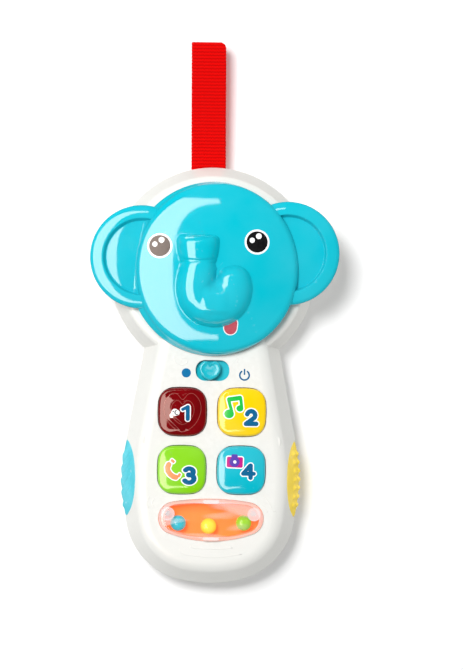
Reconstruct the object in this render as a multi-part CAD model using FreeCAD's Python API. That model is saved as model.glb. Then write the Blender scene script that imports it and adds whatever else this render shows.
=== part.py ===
"""Toy cell phone with an elephant face: a baby's musical rattle phone with a hanging strap.

Frame: millimetres, +Z towards the strap end, the face looks along -Y, +X to the viewer's right.
The origin lies on the flat back, on the centre line, halfway up the 160 mm long casing.
"""
import FreeCAD, Part
import math
import os

from FreeCAD import Base, Matrix

# ---------------------------------------------------------------- driving sizes, millimetres
# casing outline, seen from the front
CASING_TOP = 80.0
CASING_BOTTOM = -80.0
HEAD_RADIUS = 39.7
HEAD_Z = CASING_TOP - HEAD_RADIUS
HANDSET_HALF = 33.7          # half the width at the widest place
HANDSET_Z = -40.0            # height of the widest place
SIDE_RADIUS = 100.0
SIDE_LEAN = 10.6             # degrees the straight upper side leans in
CORNER_RADIUS = 27.0
BOTTOM_RADIUS = 52.0
OUTLINE_TOP = 29.0           # where the handset ends inside the head
# depth, from the flat back at y 0 to the front
PARTING = -12.0
HEAD_FRONT = -24.0
HEAD_SLOPE = 3.4             # how far the front wall of the head leans in
HEAD_FRONT_ROUND = 3.0
HEAD_BACK_ROUND = 6.0
HEAD_BACK_LEAN = 0.7
PANEL_FRONT = -26.0
PANEL_INSET = 6.0
GRIP_SEAT = 1.5              # depth the side grips are let into the walls
GRIP_PROUD = 0.8
GRIP_DEPTH_START = 23.0      # half width inside which the grips and their seats never reach
GRIP_Y = -13.0
GRIP_Z = -39.7
GRIP_HALF_DEPTH = 9.5
GRIP_HALF_HEIGHT = 14.6
GRIP_BACKING = 1.7           # wall behind each grip seat
GRIP_BACKING_ROUND = 0.8
BACK_INSET = 1.5
WALL = 2.0
PARTING_GAP = 0.15
# elephant face
FACE_X = 0.0
FACE_Z = 40.7
FACE_HALF_WIDTH = 32.1
FACE_HALF_HEIGHT = 33.0
FACE_RIM = -29.0
FACE_CROWN = -36.5
FACE_LEAN = -0.26            # sideways shift per millimetre of depth
FACE_ROLL = 2.2              # degrees anticlockwise, seen from the front
EAR_SPAN = 95.0
EAR_SHIFT = 0.6              # the ears' midpoint lies this far right of the centre line
EAR_RADIUS = 19.7
EAR_RAISE = 5.2              # ear centre above the face centre
EAR_FRONT = -29.5
EAR_RECESS_RADIUS = 14.3
EAR_FLOOR = -27.2
FACE_WALL = 2.0
FACE_EDGE = 2.2              # roundness of the disc's edge
FACE_GAP = 0.3               # play of the face in its seat
TRUNK_Y = -34.6              # depth of the trunk's centre line
TRUNK_BACK = -31.0           # the trunk melts into the dome in front of this depth
# buttons
BUTTON_HALF = 9.2
BUTTON_SIDE_RADIUS = 40.0
BUTTON_CORNER = 6.0
BUTTON_PITCH_X = 22.6
BUTTON_ROWS = (-13.8, -35.9)
BUTTON_EDGE = -27.4
BUTTON_CROWN = -28.6
BUTTON_BULGE = 32.0          # radius of the domed front
DOME_TOP = -21.9             # where a button post meets its rubber dome
SLIP = 0.3                   # gap between a moving cap and its hole
LIP = 0.7                    # retaining lip behind the front wall
LIP_FRONT = PANEL_FRONT + WALL + 0.1
LIP_BACK = LIP_FRONT + 1.0
BUTTON_WALL = 1.6
BUTTON_POST = 2.4
# slide switch
SLOT_WIDTH = 12.9
SLOT_HEIGHT = 7.9
SLOT_Z = 2.0
SLOT_CORNER = 3.6
SLIDER_WIDTH = 17.2
SLIDER_HEIGHT = 8.9
KNOB_WIDTH = 8.1
KNOB_HEIGHT = 7.1
SWITCH_TRAVEL = 2.0
KNOB_REST = -SWITCH_TRAVEL / 2
KNOB_FRONT = -27.2
# circuit board
BOARD_FRONT = -18.0
BOARD_BACK = -16.4
BOARD_POSTS = [(-15.5, 4.0), (15.5, 4.0), (-24.0, -25.0), (24.0, -25.0)]
# rattle window
WINDOW_Z = -55.0
WINDOW_HALF = 20.0
WINDOW_RISE = 8.0            # half its height
WINDOW_END_RADIUS = 6.2
WINDOW_TOP_RADIUS = 90.0
WINDOW_FRONT = -28.6
WINDOW_WALL = 1.3
TRAY_FLOOR = -19.6
TRAY_BACK = -18.3
BALL_RADIUS = 3.0
BALLS = {"blue": (-12.4, -56.4), "yellow": (-0.8, -57.5), "green": (12.6, -56.2)}
WINDOW_POSTS = [(-16.4, -52.7), (16.4, -52.7)]
WINDOW_POST_RADIUS = 1.9
# battery bay and door
BAY_HALF = 11.6
BAY_LOW = -63.5
BAY_HIGH = -12.5
BAY_FLOOR = -14.0
DOOR_HALF = 14.5
DOOR_LOW = -66.0
DOOR_HIGH = -4.0
DOOR_SCREW_Z = -8.0
DOOR_CORNER = 3.0
DOOR_GAP = 0.25
DOOR_SEAT = -2.05            # depth of the ledge the door lies on
DOOR_LEDGE = 1.8             # width of that ledge
DOOR_TONGUE_X = 7.5
DOOR_PILOT = 1.15
BATTERY_LENGTH = 44.5
BATTERY_BUTTON = 1.0
BATTERY_RADIUS = 5.25
BATTERY_X = 5.7
BATTERY_Y = -7.7
PLATE = 0.5                  # room for a contact plate
SPRING_RADIUS = 3.2
SPRING_WIRE = 0.35
# speaker
SPEAKER_Z = 42.0
SPEAKER_RADIUS = 14.5
SPEAKER_TAB_X = 17.9
SPEAKER_TAB_FRONT = -4.6
SPEAKER_TAB_RADIUS = 2.4
SPEAKER_TAB_THICK = 1.5
SPEAKER_HOLE = 1.05
SPEAKER_WIRE = 0.55           # radius over the insulation
BATTERY_WIRE = 0.5
# strap
STRAP_WIDTH = 13.2
STRAP_X = -2.4
STRAP_Y = -9.0
STRAP_TOP = 128.6
STRAP_HINGE_Z = 81.5
STRAP_LAYER = 1.1
PIN_Z = 73.5
PIN_RADIUS = 1.2
PIN_BORE = 1.3
PIN_HALF = 8.8
# screws and the bosses they go into
CASE_BOSS = 3.2
CASE_WELL = 3.6
CASE_HEAD_BORE = 2.85
CASE_CLEAR = 1.4
CASE_PILOT = 1.3
SMALL_PILOT = 0.85
SMALL_CLEAR = 1.1
BOARD_POST = 2.3
FACE_BOSS = 2.6
CASE_SCREWS = [(-24.5, 60.0), (24.5, 60.0), (-20.0, 17.0), (20.0, 17.0), (0.0, -71.5)]
FACE_SCREWS = [(-14.0, 24.0), (14.0, 24.0), (-14.0, 60.0), (14.0, 60.0)]
BIG = 200.0


# ---------------------------------------------------------------- small helpers
def vec(x, y, z):
    return Base.Vector(x, y, z)


def box(x0, x1, y0, y1, z0, z1):
    """A block between two corners, in any order."""
    return Part.makeBox(abs(x1 - x0), abs(y1 - y0), abs(z1 - z0),
                        vec(min(x0, x1), min(y0, y1), min(z0, z1)))


def rod(x, z, radius, y0, y1):
    """A cylinder along the depth axis."""
    return Part.makeCylinder(radius, abs(y1 - y0), vec(x, min(y0, y1), z), vec(0, 1, 0))


def tube(x, z, outer, inner, y0, y1):
    return rod(x, z, outer, y0, y1).cut(rod(x, z, inner, y0 - 1, y1 + 1))


def one(shape, what):
    """The single solid a boolean should have left."""
    if len(shape.Solids) != 1:
        raise ValueError(f"{what} fell into {len(shape.Solids)} solids")
    return shape.Solids[0]


def joined(shape, others):
    for other in others:
        shape = shape.fuse(other)
    return shape


def pierced(shape, tools):
    for tool in tools:
        shape = shape.cut(tool)
    return shape


def slab(wire, y0, y1):
    """A flat outline drawn at y 0, made into a solid between two depths."""
    low, high = min(y0, y1), max(y0, y1)
    face = Part.Face(wire)
    face.translate(vec(0, low, 0))
    return face.extrude(vec(0, high - low, 0))


def spun(points, x, z):
    """A profile of (radius, y) points and arc triples, turned about the depth axis at x, z."""
    edges = []
    last = points[0]
    for step in points[1:]:
        if isinstance(step[0], tuple):
            middle, end = step
            arc = Part.Arc(vec(last[0], last[1], 0), vec(middle[0], middle[1], 0), vec(end[0], end[1], 0))
            edges.append(arc.toShape())
            last = end
        else:
            edges.append(Part.makeLine(vec(last[0], last[1], 0), vec(step[0], step[1], 0)))
            last = step
    if last != points[0]:
        edges.append(Part.makeLine(vec(last[0], last[1], 0), vec(points[0][0], points[0][1], 0)))
    solid = Part.Face(Part.Wire(edges)).revolve(vec(0, 0, 0), vec(0, 1, 0), 360)
    solid.translate(vec(x, 0, z))
    return solid


def on_circle(centre, radius, degrees):
    a = math.radians(degrees)
    return (centre[0] + radius * math.cos(a), centre[1] + radius * math.sin(a))


def flat_arc(centre, radius, start, end):
    """An arc in the front plane, by its angles in degrees."""
    spots = [on_circle(centre, radius, a) for a in (start, (start + end) / 2, end)]
    return Part.Arc(*[vec(x, 0, z) for x, z in spots]).toShape()


def flat_line(a, b):
    return Part.makeLine(vec(a[0], 0, a[1]), vec(b[0], 0, b[1]))


def export(name, shape):
    shape.exportStep(f"parts/{name}.step")


# ---------------------------------------------------------------- casing
def corner_centre():
    """Centre of the corner arc, tangent inside both the side arc and the bottom arc."""
    side = (HANDSET_HALF - SIDE_RADIUS, HANDSET_Z)
    bottom = (0.0, CASING_BOTTOM + BOTTOM_RADIUS)
    r_side = SIDE_RADIUS - CORNER_RADIUS
    r_bottom = BOTTOM_RADIUS - CORNER_RADIUS
    dx, dz = bottom[0] - side[0], bottom[1] - side[1]
    gap = math.hypot(dx, dz)
    along = (r_side ** 2 - r_bottom ** 2 + gap ** 2) / (2 * gap)
    across = math.sqrt(r_side ** 2 - along ** 2)
    ux, uz = dx / gap, dz / gap
    return (side[0] + along * ux + across * uz, side[1] + along * uz - across * ux)


def handset_outline(inset):
    """The handset's outline in the front plane: straight sides, then tangent arcs to the bottom end."""
    side = (HANDSET_HALF - SIDE_RADIUS, HANDSET_Z)
    bottom = (0.0, CASING_BOTTOM + BOTTOM_RADIUS)
    corner = corner_centre()
    a_low = math.degrees(math.atan2(corner[1] - side[1], corner[0] - side[0]))
    a_bottom = math.degrees(math.atan2(corner[1] - bottom[1], corner[0] - bottom[0]))
    shoulder = on_circle(side, SIDE_RADIUS - inset, SIDE_LEAN)
    lean = math.radians(SIDE_LEAN)
    top_z = OUTLINE_TOP - inset
    top = (shoulder[0] - (top_z - shoulder[1]) * math.tan(lean), top_z)
    edges = [
        flat_line((-top[0], top_z), top),
        flat_line(top, shoulder),
        flat_arc(side, SIDE_RADIUS - inset, SIDE_LEAN, a_low),
        flat_arc(corner, CORNER_RADIUS - inset, a_low, a_bottom),
        flat_arc(bottom, BOTTOM_RADIUS - inset, a_bottom, -180 - a_bottom),
        flat_arc((-corner[0], corner[1]), CORNER_RADIUS - inset, -180 - a_bottom, -180 - a_low),
        flat_arc((-side[0], side[1]), SIDE_RADIUS - inset, -180 - a_low, -180 - SIDE_LEAN),
        flat_line((-shoulder[0], shoulder[1]), (-top[0], top_z)),
    ]
    return Part.Wire(edges)


def at_depth(wire, y):
    moved = wire.copy()
    moved.translate(vec(0, y, 0))
    return moved


def edges_at(shape, y):
    """Edges that lie wholly in the plane at depth y."""
    return [e for e in shape.Edges
            if abs(e.BoundBox.YMin - y) < 1e-3 and abs(e.BoundBox.YMax - y) < 1e-3]


def handset(inset, front_round=5.0, back_round=5.0):
    """The whole handset as one block, every face moved inwards by inset."""
    front = Part.makeLoft([at_depth(handset_outline(inset), PARTING),
                           at_depth(handset_outline(inset + PANEL_INSET), PANEL_FRONT + inset)], True, True)
    back = Part.makeLoft([at_depth(handset_outline(inset), PARTING),
                          at_depth(handset_outline(inset + BACK_INSET), -inset)], True, True)
    if front_round:
        front = front.makeFillet(front_round, edges_at(front, PANEL_FRONT + inset)[1:])
    if back_round:
        back = back.makeFillet(back_round, edges_at(back, -inset)[1:])
    return front.fuse(back)


def head(inset):
    """The round head as one block, with a rounded back and a sloping front shoulder."""
    r = HEAD_RADIUS - inset
    turn = HEAD_BACK_ROUND - inset
    k = turn * math.sqrt(0.5)
    centre_r = HEAD_RADIUS - HEAD_BACK_ROUND - HEAD_BACK_LEAN
    soft = HEAD_FRONT_ROUND - inset / 2
    cut = soft * (1 - math.sqrt(0.5))
    front_y = HEAD_FRONT + inset
    slope_r = HEAD_RADIUS - HEAD_SLOPE - inset
    return spun([
        (0, -inset),
        (centre_r, -inset),
        ((centre_r + k, k - HEAD_BACK_ROUND), (centre_r + turn, -HEAD_BACK_ROUND)),
        (r, PARTING),
        (slope_r, front_y + soft),
        ((slope_r - cut, front_y + cut), (slope_r - soft, front_y)),
        (0, front_y),
    ], 0, HEAD_Z)


def casing(inset, **rounds):
    return head(inset).fuse(handset(inset, **rounds))


def ear_centre(side):
    """Centre of an ear, side -1 left or 1 right, with the face rolled a little."""
    x = (EAR_SPAN / 2 - EAR_RADIUS) * side
    a = math.radians(FACE_ROLL)
    return (EAR_SHIFT + x * math.cos(a) - EAR_RAISE * math.sin(a),
            FACE_Z + x * math.sin(a) + EAR_RAISE * math.cos(a))


def oval(half_width, half_height, x, z):
    """An ellipse outline in the front plane."""
    major = vec(0, 0, 1)
    ellipse = Part.Ellipse(vec(x, 0, z) + major * half_height, vec(x + half_width, 0, z), vec(x, 0, z))
    return Part.Wire(ellipse.toShape())


def face_seat(clearance, y0, y1):
    return slab(oval(FACE_HALF_WIDTH + clearance, FACE_HALF_HEIGHT + clearance, FACE_X, FACE_Z), y0, y1)


def grip_window(side, grow):
    """The lens-shaped opening that holds a side grip: two arcs, cut in from the side."""
    tip, reach = GRIP_HALF_HEIGHT + grow, GRIP_HALF_DEPTH + grow
    ends = (vec(0, 0, tip), vec(0, 0, -tip))
    arcs = [Part.Arc(ends[0], vec(0, way * reach, 0), ends[1]).toShape() for way in (-1, 1)]
    solid = Part.Face(Part.Wire(arcs)).extrude(vec(side * 20.0, 0, 0))
    solid.translate(vec(side * GRIP_DEPTH_START, GRIP_Y, GRIP_Z))
    return solid


def squircle(half):
    """A button outline: a square with bowed sides and round corners."""
    side_r = BUTTON_SIDE_RADIUS
    corner_r = BUTTON_CORNER + half - BUTTON_HALF
    reach = side_r - corner_r
    back = side_r - half
    c = (math.sqrt(2 * reach ** 2 - back ** 2) - back) / 2
    lean = math.degrees(math.atan2(c, c + back))
    edges = []
    for quarter in range(4):
        turn = 90 * quarter
        edges.append(flat_arc(on_circle((0, 0), back, turn + 180), side_r, turn - lean, turn + lean))
        centre = on_circle((0, 0), c * math.sqrt(2), turn + 45)
        edges.append(flat_arc(centre, corner_r, turn + lean, turn + 90 - lean))
    return Part.Wire(edges)


def moved(wire, x, z):
    copy = wire.copy()
    copy.translate(vec(x, 0, z))
    return copy


def slot_outline(width, height, radius, x, z):
    """A rectangle with round corners in the front plane."""
    w, h = width / 2 - radius, height / 2 - radius
    edges = []
    for cx, cz, start in ((w, h, 0), (-w, h, 90), (-w, -h, 180), (w, -h, 270)):
        edges.append(flat_arc((x + cx, z + cz), radius, start, start + 90))
    outline = []
    for edge, following in zip(edges, edges[1:] + edges[:1]):
        outline.append(edge)
        a, b = edge.valueAt(edge.LastParameter), following.valueAt(following.FirstParameter)
        if a.distanceToPoint(b) > 1e-4:
            outline.append(Part.makeLine(a, b))
    return Part.Wire(Part.sortEdges(outline)[0])


def window_outline(grow=0.0):
    """The rattle window: nearly straight on top, bowed below, round at both ends."""
    r = WINDOW_END_RADIUS
    cx = WINDOW_HALF - r
    top_z = WINDOW_RISE - WINDOW_TOP_RADIUS
    cz = top_z + math.sqrt((WINDOW_TOP_RADIUS - r) ** 2 - cx ** 2)
    lift = cz + WINDOW_RISE
    bottom_r = (cx ** 2 + lift ** 2 - r ** 2) / (2 * (lift - r))
    bottom_z = bottom_r - WINDOW_RISE
    high = math.degrees(math.atan2(cz - top_z, cx))
    low = math.degrees(math.atan2(cz - bottom_z, cx))
    edges = [
        flat_arc((0, WINDOW_Z + top_z), WINDOW_TOP_RADIUS + grow, 180 - high, high),
        flat_arc((cx, WINDOW_Z + cz), r + grow, high, low),
        flat_arc((0, WINDOW_Z + bottom_z), bottom_r + grow, low, -180 - low),
        flat_arc((-cx, WINDOW_Z + cz), r + grow, -180 - low, -180 - high),
    ]
    return Part.Wire(edges)


def button_places():
    """The four buttons: number, x, z."""
    return [(1 + i, (i % 2 - 0.5) * BUTTON_PITCH_X, BUTTON_ROWS[i // 2]) for i in range(4)]


def grip_zone():
    """The stretch of the parting line that the side grips take up."""
    return [box(s * 18.0, s * 60.0, -30, 0, HANDSET_Z - 17.5, HANDSET_Z + 18.0) for s in (-1, 1)]


def make_casing():
    """Front and rear shells, cut from one casing so that they meet at the parting plane."""
    outer = casing(0.0)
    inner = casing(WALL, front_round=0.8, back_round=3.0)
    walls = outer.cut(inner)
    floor = handset(GRIP_SEAT, front_round=GRIP_BACKING_ROUND)
    behind = floor.cut(handset(GRIP_SEAT + GRIP_BACKING, 0, 0))
    seats = [grip_window(s, 0.1).cut(floor) for s in (-1, 1)]
    backing = [behind.common(grip_window(s, 1.2)) for s in (-1, 1)]
    walls = joined(pierced(walls, seats), backing)
    lip = casing(1.0).cut(inner).common(box(-BIG, BIG, PARTING - 1.2, PARTING, -BIG, BIG))
    rebate = casing(0.9).common(box(-BIG, BIG, PARTING - 1.35, PARTING + 1, -BIG, BIG))
    lip, rebate = pierced(lip, grip_zone()), pierced(rebate, grip_zone())
    front = walls.common(box(-BIG, BIG, -BIG, PARTING - PARTING_GAP, -BIG, BIG)).cut(rebate)
    rear = walls.common(box(-BIG, BIG, PARTING, BIG, -BIG, BIG)).fuse(lip)
    return outer, inner, front, rear


def make_front_shell(outer, inner, front):
    """Openings, face seat, ear backings, bosses and board posts of the front shell."""
    seat = face_seat(1.0, HEAD_FRONT - 0.5, HEAD_FRONT + WALL).common(outer)
    front = front.fuse(seat).cut(face_seat(FACE_GAP, HEAD_FRONT, -60))
    lobes = [slab(Part.Wire(Part.makeCircle(EAR_RADIUS - 0.9, vec(x, 0, z), vec(0, 1, 0))),
                  HEAD_FRONT, HEAD_FRONT + 2.0).cut(inner) for x, z in map(ear_centre, (-1, 1))]
    posts = [rod(x, z, CASE_BOSS, PANEL_FRONT if z < SLOT_Z else HEAD_FRONT, PARTING - 0.2)
             .common(casing(0.5)) for x, z in CASE_SCREWS]
    posts += [rod(x, z, BOARD_POST, PANEL_FRONT + 0.5, BOARD_FRONT) for x, z in BOARD_POSTS]
    front = joined(front, lobes + posts)
    cuts = [rod(x, z, CASE_PILOT, -21.0, PARTING) for x, z in CASE_SCREWS]
    cuts += [rod(x, z, SMALL_PILOT, -23.5, BOARD_FRONT) for x, z in BOARD_POSTS]
    cuts += [rod(x, z, CASE_CLEAR, HEAD_FRONT - 1, HEAD_FRONT + WALL + 1) for x, z in FACE_SCREWS]
    cuts += [slab(moved(squircle(BUTTON_HALF + SLIP), x, z), -40, -20) for _, x, z in button_places()]
    cuts.append(slab(slot_outline(SLOT_WIDTH, SLOT_HEIGHT, SLOT_CORNER, 0, SLOT_Z), -40, -20))
    cuts.append(slab(window_outline(0.15), -40, -20))
    return one(pierced(front, cuts), "front shell")


def grill_holes():
    """Speaker holes: one in the middle and rings of six and twelve."""
    spots = [(0.0, 0.0)]
    for radius, count in ((4.2, 6), (8.4, 12)):
        spots += [(radius * math.cos(2 * math.pi * i / count), radius * math.sin(2 * math.pi * i / count))
                  for i in range(count)]
    return spots


def rounded_plate(x_half, z0, z1, y0, y1, radius):
    return slab(slot_outline(2 * x_half, z1 - z0, radius, 0, (z0 + z1) / 2), y0, y1)


def make_rear_shell(inner, rear):
    """Battery bay, speaker seat, screw wells, strap slot and pin ribs of the rear shell."""
    ledge = rounded_plate(DOOR_HALF + DOOR_LEDGE, DOOR_LOW - DOOR_LEDGE, DOOR_HIGH + DOOR_LEDGE,
                          DOOR_SEAT - 1.55, -WALL / 2, DOOR_CORNER + 1.0)
    bay = box(-BAY_HALF - 1.5, BAY_HALF + 1.5, BAY_FLOOR - 1.2, DOOR_SEAT, BAY_LOW - 1.5, BAY_HIGH + 1.5)
    door_boss = rod(0, DOOR_SCREW_Z, 3.4, -11.0, DOOR_SEAT)
    wells = [rod(x, z, CASE_WELL, PARTING, -1.0).common(inner) for x, z in CASE_SCREWS]
    speaker_seat = tube(0, SPEAKER_Z, SPEAKER_RADIUS + 1.7, SPEAKER_RADIUS + 0.2, -3.0, -1.5)
    tab_back = SPEAKER_TAB_FRONT + SPEAKER_TAB_THICK
    speaker_posts = [rod(s * SPEAKER_TAB_X, SPEAKER_Z, SPEAKER_TAB_RADIUS, tab_back, -1.5) for s in (-1, 1)]
    ribs = [box(STRAP_X + s * 7.4, STRAP_X + s * 9.4, -11.8, -4.0, PIN_Z - 3, 78.0).common(inner)
            for s in (-1, 1)]
    rear = joined(rear, [ledge, bay, door_boss, speaker_seat] + wells + speaker_posts + ribs)
    cuts = [rounded_plate(DOOR_HALF + DOOR_GAP, DOOR_LOW - DOOR_GAP, DOOR_HIGH + DOOR_GAP,
                          DOOR_SEAT, 5, DOOR_CORNER + DOOR_GAP)]
    cuts.append(box(-BAY_HALF, BAY_HALF, BAY_FLOOR, 0, BAY_LOW, BAY_HIGH))
    cuts += [rod(x, z, CASE_HEAD_BORE, -7.0, 5) for x, z in CASE_SCREWS]
    cuts += [rod(x, z, CASE_CLEAR, -13.5, -6.5) for x, z in CASE_SCREWS]
    cuts += [rod(x, SPEAKER_Z + z, SPEAKER_HOLE, -3, 1) for x, z in grill_holes()]
    cuts += [rod(s * SPEAKER_TAB_X, SPEAKER_Z, SMALL_PILOT, -8, -0.9) for s in (-1, 1)]
    cuts.append(rod(0, DOOR_SCREW_Z, DOOR_PILOT, -10.0, 0))
    cuts += [box(x - 1.5, x + 1.5, -3.7, 1, DOOR_LOW - 1.45, DOOR_LOW + 1)
             for x in (-DOOR_TONGUE_X, DOOR_TONGUE_X)]
    cuts.append(box(STRAP_X - 7.2, STRAP_X + 7.2, STRAP_Y - 1.7, STRAP_Y + 1.7, 76, 90))
    bore_half = PIN_HALF + 0.2
    bore_start = vec(STRAP_X - bore_half, STRAP_Y, PIN_Z)
    cuts.append(Part.makeCylinder(PIN_BORE, 2 * bore_half, bore_start, vec(1, 0, 0)))
    return one(pierced(rear, cuts), "rear shell")


# ---------------------------------------------------------------- face
def leaned(shape):
    """Narrows a round shape to the face's width and leans it sideways with depth."""
    m = Matrix()
    m.A11 = FACE_HALF_WIDTH / FACE_HALF_HEIGHT
    m.A12 = FACE_LEAN
    m.A14 = FACE_X - FACE_LEAN * HEAD_FRONT
    return shape.transformGeometry(m)


def face_dome(inset):
    """The domed disc, hollowed by calling it again with an inset."""
    r = FACE_HALF_HEIGHT - inset
    crown = FACE_CROWN + inset
    rim = FACE_RIM + inset * 0.5
    edge = FACE_EDGE
    base = HEAD_FRONT + (1 if inset else 0)
    dome = spun([
        (0, base),
        (r, base),
        (r - 0.4, rim),
        ((r - 0.4 - edge * 0.3, rim - edge * 0.62), (r - 0.4 - edge, rim - edge * 0.95)),
        ((r * 0.55, crown + (rim - edge * 0.95 - crown) * 0.30), (0, crown)),
    ], 0, FACE_Z)
    return leaned(dome)


def trunk():
    """The raised trunk: a tube that hangs down, turns under and curls up again on the right."""
    spine = [(-5.7, 53.6, 7.2), (-5.8, 49.0, 7.1), (-5.9, 44.0, 6.3), (-6.6, 38.8, 6.5), (-6.9, 33.6, 6.7),
             (-4.9, 28.2, 6.8), (0.6, 25.6, 6.8), (6.2, 28.0, 6.8), (8.5, 33.4, 6.6)]
    sections = []
    for i, (x, z, r) in enumerate(spine):
        before, after = spine[max(0, i - 1)], spine[min(len(spine) - 1, i + 1)]
        along = vec(after[0] - before[0], 0, after[1] - before[1])
        sections.append(Part.Wire(Part.makeCircle(r, vec(x, TRUNK_Y, z), along)))
    limb = Part.makeLoft(sections, True, False)
    x, z, r = spine[-1]
    curl = Part.makeSphere(r - 0.02, vec(x, TRUNK_Y, z))
    return limb.fuse(curl).common(box(-BIG, BIG, -BIG, TRUNK_BACK, -BIG, BIG))


def make_face():
    """Face cover: dome, trunk and both ears in one moulding, open at the back."""
    shell = face_dome(0)
    parts = [shell, trunk()]
    for side in (-1, 1):
        x, z = ear_centre(side)
        rim = (EAR_RADIUS + EAR_RECESS_RADIUS) / 2
        half = (EAR_RADIUS - EAR_RECESS_RADIUS) / 2
        parts.append(spun([
            (0, HEAD_FRONT),
            (EAR_RADIUS - 0.4, HEAD_FRONT),
            (EAR_RADIUS, EAR_FRONT + half * 0.9),
            ((rim + half * 0.72, EAR_FRONT + half * 0.25), (rim, EAR_FRONT)),
            ((rim - half * 0.66, EAR_FRONT + half * 0.2), (EAR_RECESS_RADIUS, EAR_FLOOR)),
            (0, EAR_FLOOR),
        ], x, z))
    body = joined(parts[0], parts[1:])
    hollows = [rod(*ear_centre(s), EAR_RADIUS - FACE_WALL - 0.2, EAR_FLOOR + 1.6, HEAD_FRONT + 1).cut(shell)
               for s in (-1, 1)]
    body = pierced(body, [face_dome(FACE_WALL)] + hollows)
    body = joined(body, [rod(x, z, FACE_BOSS, -32.0, HEAD_FRONT).common(shell) for x, z in FACE_SCREWS])
    pilots = [rod(x, z, SMALL_CLEAR, -30.5, HEAD_FRONT + 1) for x, z in FACE_SCREWS]
    return one(pierced(body, pilots), "face")


# ---------------------------------------------------------------- fasteners
def screw(x, z, y_head, direction, length, shaft, head_radius, head_height):
    """A cross-head screw along the depth axis; direction 1 points its tip towards +y."""
    tip = y_head + direction * length
    body = rod(x, z, shaft, y_head, tip)
    cap = rod(x, z, head_radius, y_head, y_head - direction * head_height)
    cap = cap.makeFillet(head_height * 0.45, edges_at(cap, y_head - direction * head_height))
    top = y_head - direction * head_height
    deep = top + direction * head_height * 0.6
    cross = [box(x - a, x + a, top - direction, deep, z - b, z + b)
             for a, b in ((head_radius * 0.55, 0.28), (0.28, head_radius * 0.55))]
    return body.fuse(cap).cut(cross)


# ---------------------------------------------------------------- buttons and switch
def make_button(x, z):
    """A domed cap with a retaining lip, hollow behind, with a post for the rubber dome."""
    crown = Part.makeSphere(BUTTON_BULGE, vec(0, BUTTON_CROWN + BUTTON_BULGE, 0))
    cap = slab(squircle(BUTTON_HALF), BUTTON_CROWN - 1, LIP_BACK).common(crown)
    cap = cap.makeFillet(0.8, [e for e in cap.Edges if e.BoundBox.YMax < PANEL_FRONT])
    lip = slab(squircle(BUTTON_HALF + LIP), LIP_FRONT, LIP_BACK)
    hollow = slab(squircle(BUTTON_HALF - BUTTON_WALL), BUTTON_EDGE + 1.7, LIP_BACK + 1)
    shape = cap.fuse(lip).cut(hollow).fuse(rod(0, 0, BUTTON_POST, BUTTON_EDGE + 1.0, DOME_TOP))
    shape.translate(vec(x, 0, z))
    return one(shape, "button")


def make_rubber_dome(x, z):
    """A silicone return dome between a button post and the board."""
    return spun([(0, DOME_TOP), (2.6, DOME_TOP), (2.7, DOME_TOP + 1.2), (3.3, BOARD_FRONT - 0.8),
                 (3.8, BOARD_FRONT - 0.7), (3.8, BOARD_FRONT), (2.9, BOARD_FRONT), (2.2, DOME_TOP + 1.3),
                 (1.3, DOME_TOP + 1.3), (1.3, DOME_TOP + 1.9), (0, DOME_TOP + 1.9)], x, z)


def heart_outline(width, height, x, z):
    """A heart in the front plane, with a soft notch at the top and a broad round foot."""
    w, h = width / 2, height / 2
    half = [(0.0, 0.66), (0.28, 0.93), (0.62, 0.92), (0.93, 0.52), (0.96, -0.05), (0.62, -0.66), (0.0, -1.0)]
    right = [vec(x + w * across, 0, z + h * up) for across, up in half]
    left = [vec(2 * x - p.x, 0, p.z) for p in right]
    edges = []
    for spots in (right, left[::-1]):
        curve = Part.BSplineCurve()
        curve.interpolate(spots)
        edges.append(curve.toShape())
    return Part.Wire(edges)


def make_switch_knob():
    """Heart-shaped knob on a slider plate that closes the slot, with a fork for the lever."""
    x = KNOB_REST
    plate = slab(slot_outline(SLIDER_WIDTH, SLIDER_HEIGHT, 2.0, x, SLOT_Z), LIP_FRONT, LIP_BACK)
    knob = slab(heart_outline(KNOB_WIDTH, KNOB_HEIGHT, x, SLOT_Z), KNOB_FRONT, LIP_FRONT + 0.2)
    fork = [box(x + s * 0.9, x + s * 1.9, LIP_BACK - 0.1, -21.95, SLOT_Z - 1.6, SLOT_Z + 1.6)
            for s in (-1, 1)]
    return one(joined(plate, [knob] + fork), "switch knob")


def make_switch_parts():
    """The board's slide switch: its metal can and its lever."""
    can = box(-4.3, 4.3, BOARD_FRONT, -21.6, SLOT_Z - 2.2, SLOT_Z + 2.2)
    can = can.makeFillet(0.4, [e for e in can.Edges if abs(e.BoundBox.YMax - e.BoundBox.YMin) < 1e-6
                               and e.BoundBox.YMax < -21])
    pins = [box(px - 0.25, px + 0.25, BOARD_FRONT - 0.5, BOARD_BACK + 0.8, SLOT_Z - 0.4, SLOT_Z + 0.4)
            for px in (-2.5, 0.0, 2.5)]
    lever = box(KNOB_REST - 0.8, KNOB_REST + 0.8, -21.6, LIP_BACK + 0.15, SLOT_Z - 0.8, SLOT_Z + 0.8)
    return can, pins, lever


# ---------------------------------------------------------------- electronics
def board_outline():
    """The board tapers with the casing."""
    spots = [(-19.6, 8.0), (19.6, 8.0), (26.0, -22.0), (26.0, -30.0), (24.0, -45.0), (-24.0, -45.0),
             (-26.0, -30.0), (-26.0, -22.0)]
    return Part.makePolygon([vec(x, 0, z) for x, z in spots + spots[:1]])


def make_board(pins):
    board = slab(board_outline(), BOARD_FRONT, BOARD_BACK)
    return one(pierced(board, [rod(x, z, SMALL_CLEAR, -30, 0) for x, z in BOARD_POSTS] + pins), "board")


def make_diode(x, z):
    """A 3 mm light-emitting diode standing on the board."""
    lens = rod(x, z, 1.5, BOARD_FRONT - 2.6, BOARD_FRONT)
    tip = Part.makeSphere(1.5, vec(x, BOARD_FRONT - 2.6, z))
    collar = rod(x, z, 1.9, BOARD_FRONT - 1.0, BOARD_FRONT)
    return one(joined(lens, [tip, collar]), "diode")


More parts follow.
